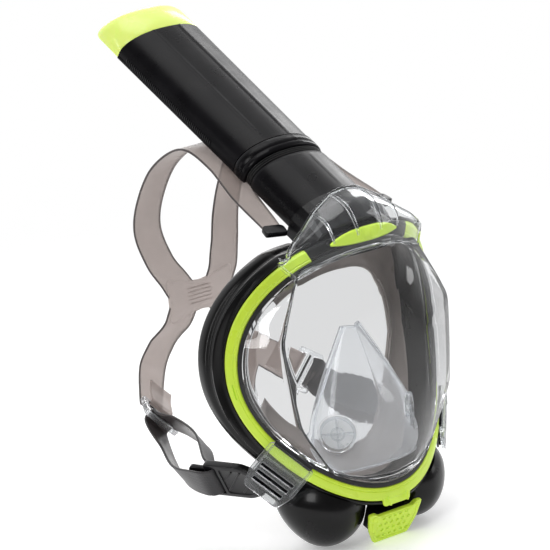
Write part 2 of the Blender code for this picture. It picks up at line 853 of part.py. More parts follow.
def back_tray(z, split, wall, slope):
    """Outline of the back shell: a flat tray with low walls."""
    half = tube_half(z, 0.0)
    outline = [
        (-half, -split),
        (-half, 0.0),
        (half, 0.0),
        (half, -split),
        (half - wall, -split),
        (half - wall, -wall),
        (-half + wall, -wall),
        (-half + wall, -split),
    ]
    return [Vector((x, y, z + slope * y)) for x, y in outline]


def snorkel_shells():
    low, high = shell_bottom(), TUBE_TOP
    slope = TUBE_TOP_SLOPE
    split = TUBE_SPLIT + GAP
    front = [front_arch(low, split, TUBE_WALL, 0.0), front_arch(high, split, TUBE_WALL, slope)]
    mesh = loft_mesh("snorkel_front_shell", front)
    add_object("snorkel_front_shell", mesh, BLACK, 0.25, snorkel_frame())
    back = [back_tray(low, TUBE_SPLIT, TUBE_WALL, 0.0), back_tray(high, TUBE_SPLIT, TUBE_WALL, slope)]
    mesh = loft_mesh("snorkel_back_shell", back)
    add_object("snorkel_back_shell", mesh, BLACK, 0.35, snorkel_frame())


def plate_bottom():
    return TUBE_TOP - 0.0085


def duct_dividers():
    """Two walls that part the middle intake duct from the side exhaust ducts."""
    low, high = shell_bottom() + 0.002, plate_bottom() - 0.002
    for side, mark in ((-1, "r"), (1, "l")):
        near = side * (RIB_X - DIVIDER_WALL / 2)
        far = side * (RIB_X + DIVIDER_WALL / 2)
        sections = []
        for z in (low, high):
            front = -tube_front(far, z, -TUBE_WALL) + 0.0006
            back = -TUBE_WALL - GAP
            corners = ((near, back), (far, back), (far, front), (near, front))
            sections.append([Vector((x, y, z)) for x, y in corners])
        name = "duct_divider_" + mark
        add_object(name, loft_mesh(name, sections), BLACK, 0.5, snorkel_frame())


def cap_section(z, grow, share, lift):
    """A cap ring: a D outline drawn in by share and laid on the cap's slanted end."""
    middle = -(TUBE_SIDE + TUBE_BULGE) / 2
    section = []
    for point in d_section(z, grow):
        x = point.x * share
        y = middle + (point.y - middle) * share
        section.append(Vector((x, y, TUBE_TOP + CAP_HEIGHT + CAP_END_SLOPE * y + lift)))
    return section


def snorkel_cap():
    low = TUBE_TOP + GAP
    wall = CAP_WALL
    outside = [
        d_section(low, 0.0, TUBE_TOP_SLOPE),
        cap_section(TUBE_TOP, 0.0, 1.0, 0.0),
        cap_section(TUBE_TOP, 0.0, 0.90, CAP_DOME * 0.55),
        cap_section(TUBE_TOP, 0.0, 0.55, CAP_DOME),
    ]
    inside = [
        cap_section(TUBE_TOP, -wall, 0.55, CAP_DOME - wall),
        cap_section(TUBE_TOP, -wall, 0.88, CAP_DOME * 0.55 - wall),
        cap_section(TUBE_TOP, -wall, 0.98, -wall),
        d_section(low, -wall, TUBE_TOP_SLOPE),
    ]
    bm = bmesh.new()
    loops = [[bm.verts.new(p) for p in section] for section in outside + inside]
    for index, (first, second) in enumerate(zip(loops, loops[1:] + loops[:1])):
        if index == len(outside) - 1:
            continue
        for i in range(len(first)):
            j = (i + 1) % len(first)
            bm.faces.new((first[i], first[j], second[j], second[i]))
    bm.faces.new(loops[len(outside) - 1])
    bm.faces.new(loops[len(outside)])
    cap = add_object("snorkel_cap", to_mesh("snorkel_cap", bm), LIME, 0.3, snorkel_frame())
    for side in (-1, 1):
        name = f"cap_inlet_{side}"
        size = (0.018, 0.012, 0.005)
        inlet = box_mesh(name, size, (side * 0.017, 0.0, TUBE_TOP + 0.010))
        combine(cap, add_cutter(name, inlet, snorkel_frame()), "DIFFERENCE")
    return cap


def duct_middle():
    return -(TUBE_SIDE + TUBE_BULGE) / 2


def float_cage():
    """The partition under the cap, with the cage in which the float rises."""
    frame = snorkel_frame()
    low = plate_bottom()
    inset = -TUBE_WALL - GAP
    plate = loft_mesh("float_cage", [d_section(low, inset), d_section(low + PLATE_THICKNESS, inset)])
    cage = add_object("float_cage", plate, BLACK, 0.5, frame)
    radius = FLOAT_RADIUS + CAGE_SLACK
    reach = FLOAT_LENGTH + FLOAT_TRAVEL + 0.003
    centre = (0.0, duct_middle(), low - reach / 2 + 0.0005)
    tube = disc_mesh("cage_tube", radius + CAGE_WALL, reach + 0.001, "Z", centre, 20)
    combine(cage, add_cutter("cage_tube", tube, frame), "UNION")
    bore_centre = (0.0, duct_middle(), low - reach / 2 + 0.0010)
    bore = disc_mesh("cage_bore", radius, reach - 0.0016, "Z", bore_centre, 20)
    combine(cage, add_cutter("cage_bore", bore, frame), "DIFFERENCE")
    through = disc_mesh("cage_throat", SEAT_BORE, 3 * reach, "Z", centre, 20)
    combine(cage, add_cutter("cage_throat", through, frame), "DIFFERENCE")
    for side in (-1, 1):
        name = f"exhaust_port_{side}"
        place = (side * EXHAUST_X, duct_middle() + 0.001, low)
        port = disc_mesh(name, EXHAUST_RADIUS, 0.01, "Z", place, 16)
        combine(cage, add_cutter(name, port, frame), "DIFFERENCE")
    window = box_mesh("cage_window", (0.05, 0.006, reach - 0.006), (0.0, duct_middle(), low - reach / 2))
    combine(cage, add_cutter("cage_window", window, frame), "DIFFERENCE")
    return cage


def float_parts():
    frame = snorkel_frame()
    floor = plate_bottom() - (FLOAT_LENGTH + FLOAT_TRAVEL + 0.003) + 0.0022
    centre = (0.0, duct_middle(), floor + FLOAT_LENGTH / 2)
    drum = disc_mesh("float", FLOAT_RADIUS, FLOAT_LENGTH, "Z", centre, 20)
    body = add_object("float", drum, SMOKE, 0.4, frame)
    bevel(body, 0.0018, 2)
    low = plate_bottom() + PLATE_THICKNESS + GAP
    seat = disc_mesh("float_seal", SEAT_BORE + 0.0024, 0.0012, "Z", (0.0, duct_middle(), low + 0.0006), 20)
    seal = add_object("float_seal", seat, BLACK, 0.6, frame)
    bore = disc_mesh("float_seal_bore", SEAT_BORE - 0.0006, 0.01, "Z", (0.0, duct_middle(), low), 20)
    combine(seal, add_cutter("float_seal_bore", bore, frame), "DIFFERENCE")
    for side, mark in ((-1, "r"), (1, "l")):
        name = "exhaust_flap_" + mark
        place = (side * EXHAUST_X, duct_middle() + 0.001, low + FLAP_THICKNESS / 2)
        flap = disc_mesh(name, EXHAUST_RADIUS + 0.0012, FLAP_THICKNESS, "Z", place, 16)
        add_object(name, flap, SMOKE, 0.4, frame)


# ---- Harness ---------------------------------------------------------------------------------


def smooth_path(points, samples, closed=False):
    """Catmull-Rom through the points, samples to a span."""
    count = len(points)
    spans = count if closed else count - 1
    path = []
    for i in range(spans):
        if closed:
            p0, p1, p2, p3 = (points[(i + k) % count] for k in (-1, 0, 1, 2))
        else:
            p0, p1, p2, p3 = (points[min(max(i + k, 0), count - 1)] for k in (-1, 0, 1, 2))
        for j in range(samples):
            t = j / samples
            path.append(
                0.5 * (2 * p1 + (p2 - p0) * t + (2 * p0 - 5 * p1 + 4 * p2 - p3) * t**2
                       + (3 * p1 - p0 - 3 * p2 + p3) * t**3)
            )
    if not closed:
        path.append(points[-1].copy())
    return path


def ribbon_mesh(name, stations, width, samples=4, closed=False):
    """A flat strap through (point, width direction) stations."""
    path = smooth_path([Vector(point) for point, _ in stations], samples, closed)
    widths = smooth_path([Vector(across).normalized() for _, across in stations], samples, closed)
    sections = []
    count = len(path)
    for i in range(count):
        before = path[(i - 1) % count] if closed or i > 0 else path[i]
        after = path[(i + 1) % count] if closed or i < count - 1 else path[i]
        along = (after - before).normalized()
        across = (widths[i] - widths[i].dot(along) * along).normalized() * width / 2
        normal = along.cross(across).normalized() * STRAP_THICKNESS / 2
        centre = path[i]
        sections.append([
            centre - across - normal,
            centre + across - normal,
            centre + across + normal,
            centre - across + normal,
        ])
    return loft_mesh(name, sections, closed)


def flipped(point):
    return Vector((-point[0], point[1], point[2]))


def side_name(base, side):
    return base + ("_r" if side < 0 else "_l")


def slider_frame():
    return frame_of(SLIDER_CENTRE, Vector((-0.42, -0.84, -0.36)), Vector((0.70, -0.04, -0.71)))


def in_frame(frame, v, w, u=0.0):
    return frame @ Vector((u, v, w))


def anchor_frame():
    return frame_of(ANCHOR_CENTRE, Vector((0.0105, 0.0410, 0.0195)), Vector((1.0, 0.0, 0.0)))


def upper_arm_stations():
    across = (1.0, 0.0, 0.0)
    anchor = anchor_frame()
    points = [
        (-0.013, 0.1335, 0.026),
        (-0.020, 0.1345, 0.034),
        (-0.031, 0.1415, 0.054),
        (-0.037, 0.1405, 0.082),
        (-0.038, 0.1300, 0.108),
        (-0.036, 0.1080, 0.136),
        (-0.0325, 0.0740, 0.1525),
        (-0.0335, 0.0400, 0.1425),
        (-(TUBE_HALF + STRAP_WIDTH / 2 - ARM_TUCK), 0.0050, 0.1240),
        in_frame(anchor, 0.012, 0.0),
        in_frame(anchor, -0.0008, 0.0),
    ]
    return [(point, across) for point in points]


def lower_arm_stations():
    frame = slider_frame()
    across = frame.to_3x3() @ Vector((1.0, 0.0, 0.0))
    side = Vector((1.0, 0.0, 0.0))
    return [
        ((-0.013, 0.1335, 0.022), side),
        ((-0.020, 0.1350, 0.014), side),
        ((-0.030, 0.1460, -0.003), Vector((1.0, 0.0, -0.05))),
        ((-0.040, 0.1505, -0.020), Vector((0.95, 0.05, -0.25))),
        ((-0.052, 0.1370, -0.035), Vector((0.82, 0.05, -0.5))),
        (in_frame(frame, -0.017, 0.0045), across),
        (in_frame(frame, -0.0095, 0.0044), across),
        (in_frame(frame, -0.0054, 0.0012), across),
        (in_frame(frame, -0.0051, -0.0032), across),
    ]


def buckle_frame():
    along = BUCKLE_TAIL - BUCKLE_NOSE
    return frame_of(BUCKLE_NOSE, along, Vector((0.448, 0.126, -0.888)))


def loop_stations():
    slider, buckle = slider_frame(), buckle_frame()
    su = slider.to_3x3() @ Vector((1.0, 0.0, 0.0))
    bu = buckle.to_3x3() @ Vector((1.0, 0.0, 0.0))
    middle = (su + bu) / 2
    return [
        (in_frame(slider, 0.0049, 0.0), su),
        (in_frame(slider, 0.0060, 0.0040), su),
        (in_frame(slider, 0.0120, 0.0058), su),
        (Vector((-0.084, 0.078, -0.072)), middle),
        (Vector((-0.095, 0.048, -0.080)), middle),
        (in_frame(buckle, 0.0490, -0.0066), bu),
        (in_frame(buckle, 0.0385, -0.0052), bu),
        (in_frame(buckle, 0.0357, 0.0), bu),
        (in_frame(buckle, 0.0385, 0.0052), bu),
        (in_frame(buckle, 0.0490, 0.0070), bu),
        (Vector((-0.0735, 0.046, -0.060)), middle),
        (Vector((-0.067, 0.078, -0.056)), middle),
        (in_frame(slider, 0.0120, -0.0058), su),
        (in_frame(slider, 0.0060, -0.0040), su),
    ]


def head_harness():
    hub = add_object("head_harness", box_mesh("head_harness", HUB_SIZE), SMOKE, 0.35,
                     Matrix.Translation(HUB_CENTRE))
    for side in (-1, 1):
        for level, stations in (("upper", upper_arm_stations()), ("lower", lower_arm_stations())):
            if side > 0:
                stations = [(flipped(p), flipped(a)) for p, a in stations]
            name = f"{level}_arm_{side}"
            combine(hub, add_cutter(name, ribbon_mesh(name, stations, STRAP_WIDTH)), "UNION")
    return hub


def slotted_plate(name, size, slots, colour, frame, roughness, transmission=0.0):
    """A plate in its own frame with slots given as (place along, slot width, slot depth)."""
    plate = add_object(name, box_mesh(name, size), colour, roughness, frame, transmission)
    bevel(plate, 0.0008)
    for index, (v, wide, deep) in enumerate(slots):
        cutter = box_mesh(f"{name}_slot_{index}", (wide, deep, 0.02), (0.0, v, 0.0))
        combine(plate, add_cutter(f"{name}_slot_{index}", cutter, frame), "DIFFERENCE")
    return plate


def strap_sliders():
    slots = [(v, STRAP_WIDTH + 0.0020, SLOT_DEPTH) for v in (-0.0051, 0.0051)]
    for side in (-1, 1):
        frame = slider_frame() if side < 0 else mirrored(slider_frame())
        slotted_plate(side_name("strap_slider", side), SLIDER_SIZE, slots, CLEAR, frame, 0.15, 0.6)


def strap_loops():
    for side in (-1, 1):
        stations = loop_stations()
        if side > 0:
            stations = [(flipped(p), flipped(a)) for p, a in stations]
        name = side_name("strap_loop", side)
        add_object(name, ribbon_mesh(name, stations, STRAP_WIDTH - 0.001, 4, True), BLACK, 0.5)


def lug_frame():
    """On the rim at the lug's angle: X along the rim, Y outwards and back, Z out of the plate."""
    step = 0.02
    origin = rim_point(LUG_ANGLE)
    across = rim_point(LUG_ANGLE + step) - rim_point(LUG_ANGLE - step)
    along = 0.744 * rim_normal(LUG_ANGLE) + Vector((0.0, 0.668, 0.0))
    along = along - along.dot(across.normalized()) * across.normalized()
    return frame_of(origin, along, across)


def strap_lugs():
    length = LUG_REACH + LUG_INNER
    middle = (LUG_REACH - LUG_INNER) / 2
    for side in (-1, 1):
        frame = lug_frame() if side < 0 else mirrored(lug_frame())
        height = LUG_HEIGHT + LUG_WALL / 2
        if (frame.to_3x3() @ Vector((0, 0, 1))).y > 0:
            height = -height
        place = frame @ Matrix.Translation((0.0, middle, height))
        size = (LUG_WIDTH, length, LUG_WALL)
        slots = [(v - middle, LUG_WIDTH - 0.009, 0.0042) for v in (0.0125, 0.0185, 0.0245)]
        slotted_plate(side_name("strap_lug", side), size, slots, CLEAR, place, 0.1, 0.8)


def buckles():
    for side in (-1, 1):
        frame = buckle_frame() if side < 0 else mirrored(buckle_frame())
        middle = BUCKLE_BODY / 2
        place = frame @ Matrix.Translation((0.0, middle, 0.0))
        size = (BUCKLE_WIDTH, BUCKLE_BODY, BUCKLE_THICKNESS)
        slots = [(0.0357 - middle, STRAP_WIDTH + 0.0008, 0.0046)]
        slotted_plate(side_name("buckle_body", side), size, slots, BLACK, place, 0.4)
        lever_place = frame @ Matrix.Translation((0.0, BUCKLE_BODY + GAP + LEVER_LENGTH / 2, 0.0))
        lever_size = (BUCKLE_WIDTH - 0.008, LEVER_LENGTH, LEVER_THICKNESS)
        name = side_name("release_tab", side)
        lever = add_object(name, box_mesh(name, lever_size), BLACK, 0.4, lever_place)
        bevel(lever, 0.0008)


def top_anchors():
    for side in (-1, 1):
        frame = anchor_frame() if side < 0 else mirrored(anchor_frame())
        name = side_name("top_strap_anchor", side)
        size = (STRAP_WIDTH + 0.0035, 0.011, 0.0065)
        anchor = add_object(name, box_mesh(name, size), BLACK, 0.4, frame)
        bevel(anchor, 0.0009)
        slot_size = (STRAP_WIDTH + 0.0008, 0.011, STRAP_THICKNESS + 0.0008)
        slot = box_mesh(name + "_slot", slot_size, (0.0, 0.0035, 0.0))
        combine(anchor, add_cutter(name + "_slot", slot, frame), "DIFFERENCE")


def build():
    frame_ring()
    lens_gasket()
    visor_lens()
    top_badge()
    outer_skirt()
    face_seal()
    chin_lobes()
    orinasal_pocket()
    inhale_valves()
    purge_cover()
    purge_housing()
    purge_valve()
    snorkel_socket()
    snorkel_base()
    socket_gasket()
    flexible_joint()
    snorkel_collar()
    snorkel_shells()
    duct_dividers()
    snorkel_cap()
    float_cage()
    float_parts()
    head_harness()
    strap_sliders()
    strap_loops()
    strap_lugs()
    buckles()
    top_anchors()


build()
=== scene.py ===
"""Looks of the full face snorkel mask: finer meshes, procedural materials, studio light and camera.

Everything is in metres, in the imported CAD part's own frame: +Z up, -Y the way the visor faces.
"""
import json
import math

import bmesh
import bpy
from mathutils import Matrix, Vector

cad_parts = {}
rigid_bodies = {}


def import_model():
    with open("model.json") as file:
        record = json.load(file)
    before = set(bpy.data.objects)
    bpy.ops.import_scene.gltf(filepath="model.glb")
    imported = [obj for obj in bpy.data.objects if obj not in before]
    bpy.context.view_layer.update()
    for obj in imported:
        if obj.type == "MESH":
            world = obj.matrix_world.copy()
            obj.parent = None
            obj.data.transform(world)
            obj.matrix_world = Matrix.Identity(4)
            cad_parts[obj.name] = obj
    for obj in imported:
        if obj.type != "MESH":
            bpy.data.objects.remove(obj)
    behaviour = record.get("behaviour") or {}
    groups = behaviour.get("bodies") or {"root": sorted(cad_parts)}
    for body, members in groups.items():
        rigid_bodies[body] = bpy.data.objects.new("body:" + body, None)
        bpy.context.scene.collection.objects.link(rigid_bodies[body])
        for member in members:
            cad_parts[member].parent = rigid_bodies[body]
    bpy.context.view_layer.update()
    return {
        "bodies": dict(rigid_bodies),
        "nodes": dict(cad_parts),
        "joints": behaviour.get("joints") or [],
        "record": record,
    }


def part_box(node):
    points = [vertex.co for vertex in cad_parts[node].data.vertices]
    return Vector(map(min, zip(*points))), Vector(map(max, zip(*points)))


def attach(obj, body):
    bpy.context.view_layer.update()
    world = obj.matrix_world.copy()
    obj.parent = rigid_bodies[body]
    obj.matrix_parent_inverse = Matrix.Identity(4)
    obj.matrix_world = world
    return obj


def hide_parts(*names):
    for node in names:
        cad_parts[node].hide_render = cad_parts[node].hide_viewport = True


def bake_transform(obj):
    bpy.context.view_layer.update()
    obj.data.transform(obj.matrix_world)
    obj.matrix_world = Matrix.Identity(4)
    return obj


# Rim, as in the CAD part.
RIM_HALF_WIDTH = 0.0925
RIM_HALF_HEIGHT = 0.098
RIM_SIDE_Y = -0.028
RIM_SWEEP = 0.052
RIM_LEAN = 0.03
RIM_SIDE_POWER = 0.92
RIM_TOP_POWER = 0.98
RIM_CHIN_NARROWING = 0.10
RIM_SHOULDER_RISE = 0.007
RIM_LOWER_SCALE = 0.95
RIM_STEPS = 192
RING_TURN = math.radians(60)
RING_HALF_BAND = 0.0047
RING_NOTCH = 0.10
# How far the ring's part under the crown reaches; that part is painted black as shade.
RING_SHADED_SHARE = 0.50
GASKET_OUTER = -0.0051
VISOR_EDGE = -0.0088
VISOR_WALL = 0.0024
VISOR_FRONT_Y = -0.0870
VISOR_FLAT_SHARE = 0.5
VISOR_CREASE = (
    Vector((0.0, -0.0835, 0.0875)),
    Vector((0.027, -0.0795, 0.0865)),
    Vector((0.053, -0.0665, 0.0825)),
    Vector((0.077, -0.0710, 0.0340)),
    Vector((0.070, -0.0720, -0.0310)),
    Vector((0.045, -0.0715, -0.0720)),
    Vector((0.024, -0.0815, -0.0785)),
    Vector((0.0, -0.0845, -0.0805)),
)

# Crown.
CROWN_SPREAD = math.radians(38)
CROWN_RIM = (
    (0.0, Vector((0.0, -0.0580, 0.1285))),
    (0.125, Vector((0.0115, -0.0580, 0.1270))),
    (0.375, Vector((0.0285, -0.0585, 0.1175))),
    (0.625, Vector((0.0400, -0.0600, 0.1080))),
    (0.875, Vector((0.0550, -0.0625, 0.0975))),
    (1.0, Vector((0.0600, -0.0638, 0.0905))),
)
CROWN_BULGE = 0.0036
CROWN_STANDOFF = 0.0068
CROWN_WALL = 0.0022
CROWN_STEPS = 72
CROWN_BEAD = 0.0015
CROWN_RIB_X = 0.012

# Skirt, lobes, seal and pocket.
SKIRT_OUT = 0.008
SKIRT_BACK = 0.031
LOBE_CENTRE = Vector((0.040, -0.046, -0.101))
LOBE_RADII = (0.0245, 0.031, 0.0290)
SEAL_LIP_HALF_WIDTH = 0.064
SEAL_LIP_TOP = 0.067
SEAL_LIP_BOTTOM = -0.066
SEAL_LIP_Y = -0.040
SEAL_LIP_SWEEP = 0.028
SEAL_CHIN_NARROWING = 0.24
POCKET_LEVELS = (
    (0.026, 0.0065, -0.0490, -0.0555),
    (0.008, 0.0180, -0.0490, -0.0640),
    (-0.012, 0.0300, -0.0490, -0.0715),
    (-0.032, 0.0400, -0.0490, -0.0765),
    (-0.050, 0.0440, -0.0490, -0.0785),
    (-0.064, 0.0420, -0.0545, -0.0780),
    (-0.072, 0.0360, -0.0600, -0.0760),
)
VALVE_CENTRE = Vector((0.0335, -0.0655, -0.044))
VALVE_TURN = math.radians(43)
VALVE_RADIUS = 0.0135

# Purge cover.
PURGE_ORIGIN = Vector((0.0, -0.074, -0.1175))
PURGE_TILT = math.radians(23)

# Snorkel.
SNORKEL_ORIGIN = Vector((0.0, -0.036, 0.1036))
SNORKEL_LEAN = math.radians(60)
TUBE_HALF = 0.0345
TUBE_SIDE = 0.006
TUBE_BULGE = 0.018
TUBE_POWER = 2.2
TUBE_WALL = 0.0020
TUBE_SPLIT = 0.003
TUBE_RIDGE_X = 0.012
BASE_LENGTH = 0.050
FLEX_LENGTH = 0.0062
COLLAR_LENGTH = 0.0135
TUBE_TOP = 0.219
TUBE_TOP_SLOPE = 0.20
TUBE_WIDENING = 0.07
CAP_BACK_Z = 0.2435
CAP_END_SLOPE = 0.45
CAP_DOME = 0.0120

# Harness.
STRAP_WIDTH = 0.025
STRAP_THICKNESS = 0.0012
STRAP_BEAD = 0.0009
STRAP_BEAD_FACES = (0, 1, 2, 3, 4, 5, 10, 11, 12, 13, 14, 15)
HUB_CENTRE = Vector((0.0, 0.1335, 0.024))
SLIDER_CENTRE = Vector((-0.070, 0.105, -0.0505))
LUG_ANGLE = math.radians(220)
BUCKLE_NOSE = Vector((-0.080, -0.030, -0.0745))
BUCKLE_TAIL = Vector((-0.096, 0.019, -0.0745))
BUCKLE_BODY = 0.0445
ANCHOR_CENTRE = Vector((-0.0540, -0.036, 0.1060))

# Camera.
CAMERA_AZIMUTH = math.radians(-36)
CAMERA_ELEVATION = math.radians(14)
CAMERA_ROLL = math.radians(6.3)
CAMERA_DISTANCE = 2.2
CAMERA_LENS = 201.6
CAMERA_TARGET = Vector((0.0, -0.057, 0.057))
CAMERA_ASIDE = 0.0550
CAMERA_RISE = 0.0071
FLOOR_Z = -0.1315
FLOOR_GLOW = 0.30
TENT_FRONT = 0.16
TENT_BACK = 1.0
BACKDROP = Vector((0.59, 0.81, 0.0))
SEEN_THROUGH_LEVEL = 0.74


# ---- Mesh helpers ----------------------------------------------------------------------------


def to_mesh(name, bm):
    bmesh.ops.recalc_face_normals(bm, faces=bm.faces)
    mesh = bpy.data.meshes.new(name)
    bm.to_mesh(mesh)
    bm.free()
    return mesh


def skinned(bm, loops, wrap=True):
    """Quads between each loop of vertices and the next."""
    for first, second in zip(loops, loops[1:]):
        count = len(first)
        for i in range(count if wrap else count - 1):
            j = (i + 1) % count
            bm.faces.new((first[i], first[j], second[j], second[i]))


def loft(name, sections, closed=False):
    """A solid through equal point loops: capped at both ends, or closed into a ring."""
    bm = bmesh.new()
    loops = [[bm.verts.new(point) for point in section] for section in sections]
    skinned(bm, loops + loops[:1] if closed else loops)
    if not closed:
        bm.faces.new(loops[0])
        bm.faces.new(loops[-1])
    return to_mesh(name, bm)


def sheet(name, rows, wrap=False):
    """An open surface through rows of equal length."""
    bm = bmesh.new()
    skinned(bm, [[bm.verts.new(point) for point in row] for row in rows], wrap)
    return to_mesh(name, bm)


def curve_through(points, samples, closed=False):
    """Catmull-Rom through the points, samples to a span."""
    count = len(points)
    path = []
    for i in range(count if closed else count - 1):
        near = [i + k if not closed else (i + k) % count for k in (-1, 0, 1, 2)]
        p0, p1, p2, p3 = (points[min(max(n, 0), count - 1)] for n in near)
        for j in range(samples):
            t = j / samples
            bend = (2 * p0 - 5 * p1 + 4 * p2 - p3) * t**2 + (3 * p1 - p0 - 3 * p2 + p3) * t**3
            path.append(0.5 * (2 * p1 + (p2 - p0) * t + bend))
    if not closed:
        path.append(points[-1].copy())
    return path


def rounded(outline, radius, steps=4):
    """A closed 2-D outline with each corner turned into an arc."""
    points = [Vector((x, y)) for x, y in outline]
    result = []
    for i, corner in enumerate(points):
        before = points[i - 1] - corner
        after = points[(i + 1) % len(points)] - corner
        reach = min(radius, 0.48 * before.length, 0.48 * after.length)
        start = corner + before.normalized() * reach
        end = corner + after.normalized() * reach
        for k in range(steps + 1):
            t = k / steps
            result.append((1 - t) ** 2 * start + 2 * t * (1 - t) * corner + t**2 * end)
    return result


def rectangle(width, height, centre=(0.0, 0.0)):
    x, y = centre
    w, h = width / 2, height / 2
    return [(x - w, y - h), (x + w, y - h), (x + w, y + h), (x - w, y + h)]


def block(name, outline, low, high, edge, steps=3):
    """A solid of this X-Y outline between two Z levels, with rolled edges."""
    middle = sum((Vector(p) for p in outline), Vector((0.0, 0.0))) / len(outline)
    sections = []
    for level, sign in ((low, 1.0), (high, -1.0)):
        arc = []
        for k in range(steps + 1):
            turn = math.radians(90) * k / steps
            inset = edge * (1 - math.sin(turn))
            z = level + sign * edge * (1 - math.cos(turn))
            ring = []
            for point in outline:
                away = Vector(point) - middle
                shrink = 1.0 - inset / max(away.length, 1e-6)
                ring.append(Vector((middle.x + away.x * shrink, middle.y + away.y * shrink, z)))
            arc.append(ring)
        sections += arc if sign > 0 else arc[::-1]
    return loft(name, sections)


def directions(path, closed=False):
    """The way the path runs at each of its points."""
    count = len(path)
    result = []
    for i in range(count):
        before = path[(i - 1) % count] if closed or i else path[i]
        after = path[(i + 1) % count] if closed or i < count - 1 else path[i]
        result.append((after - before).normalized())
    return result


def tube(name, path, radius, sides=10, closed=False, up=Vector((0.0, 0.0, 1.0))):
    """A round bead along a path."""
    sections = []
    turns = [2 * math.pi * k / sides for k in range(sides)]
    for centre, along in zip(path, directions(path, closed)):
        side = along.cross(up).normalized()
        lift = side.cross(along)
        sections.append([centre + radius * (math.cos(t) * side + math.sin(t) * lift) for t in turns])
    return loft(name, sections, closed)


def disc(name, profile, sides=64):
    """A turned solid about local Z from a closed (radius, z) profile."""
    sections = []
    for i in range(sides):
        turn = 2 * math.pi * i / sides
        sections.append([Vector((r * math.cos(turn), r * math.sin(turn), z)) for r, z in profile])
    return loft(name, sections, closed=True)


def cylinder(name, radius, depth):
    bm = bmesh.new()
    bmesh.ops.create_cone(bm, cap_ends=True, segments=48, radius1=radius, radius2=radius, depth=depth)
    return to_mesh(name, bm)


def ellipsoid(name, radii, centre, segments=64, rings=40):
    bm = bmesh.new()
    place = Matrix.Translation(centre) @ Matrix.Diagonal((*radii, 1.0))
    bmesh.ops.create_uvsphere(bm, u_segments=segments, v_segments=rings, radius=1.0, matrix=place)
    return to_mesh(name, bm)


def add_object(name, data):
    item = bpy.data.objects.new(name, data)
    bpy.context.scene.collection.objects.link(item)
    return item


def placed(mesh, frame):
    mesh.transform(frame)
    if frame.determinant() < 0:
        mesh.flip_normals()
    return mesh


def joined(name, meshes):
    """One mesh of several, which keep their own faces."""
    bm = bmesh.new()
    for mesh in meshes:
        bm.from_mesh(mesh)
    mesh = bpy.data.meshes.new(name)
    bm.to_mesh(mesh)
    bm.free()
    return mesh


def evaluated(item):
    graph = bpy.context.evaluated_depsgraph_get()
    mesh = bpy.data.meshes.new_from_object(item.evaluated_get(graph))
    old = item.data
    item.modifiers.clear()
    item.data = mesh
    bpy.data.meshes.remove(old)


def thicken(mesh, thickness):
    """The mesh of a sheet given a wall."""
    item = add_object("sheet", mesh)
    modifier = item.modifiers.new("wall", "SOLIDIFY")
    modifier.thickness = thickness
    modifier.offset = -1.0
    modifier.use_even_offset = True
    modifier.thickness_clamp = 1.0
    evaluated(item)
    result = item.data
    bpy.data.objects.remove(item)
    return result


def cut(mesh, others, operation="DIFFERENCE"):
    """The mesh with the others taken away from it, or joined to it."""
    item = add_object("blank", mesh)
    cutters = [add_object("cutter", other) for other in others]
    for cutter in cutters:
        modifier = item.modifiers.new("cut", "BOOLEAN")
        modifier.operation = operation
        modifier.object = cutter
        modifier.solver = "EXACT"
    evaluated(item)
    result = item.data
    for used in [item] + cutters:
        bpy.data.objects.remove(used)
    return result


def frame_of(origin, along, across):
    """A placement whose X is across, whose Y is along, and whose Z is their normal."""
    y = along.normalized()
    x = (across - across.dot(y) * y).normalized()
    z = x.cross(y)
    return Matrix.Translation(origin) @ Matrix((x, y, z)).transposed().to_4x4()


MIRROR = Matrix.Diagonal((-1.0, 1.0, 1.0, 1.0))
UPRIGHT = Matrix.Rotation(math.radians(90), 4, "X")
ALONG_X = Vector((1.0, 0.0, 0.0))
ALONG_Y = Vector((0.0, 1.0, 0.0))


def on_side(frame, side):
    """The wearer's right is the side as written; the left is its mirror image."""
    return frame if side < 0 else MIRROR @ frame


def side_name(base, side):
    return base + ("_r" if side < 0 else "_l")


def flipped(point):
    return Vector((-point[0], point[1], point[2]))


def mirrored(mesh, side):
    """A mesh made for the wearer's right, moved to this side."""
    return placed(mesh, on_side(Matrix.Identity(4), side))


def piece(name, mesh, material, body, nodes=(), sharp=40):
    """A finished piece that rides on a CAD body and stands for these CAD nodes."""
    item = add_object(name, mesh)
    mesh.materials.clear()
    mesh.materials.append(material)
    mesh.shade_smooth()
    mesh.set_sharp_from_angle(angle=math.radians(sharp))
    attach(item, body)
    if nodes:
        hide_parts(*nodes)
    return item


def paint(material, *names):
    """Gives CAD nodes that stay in view a finished material."""
    for name in names:
        materials = frame["nodes"][name].data.materials
        materials.clear()
        materials.append(material)


# ---- Materials -------------------------------------------------------------------------------


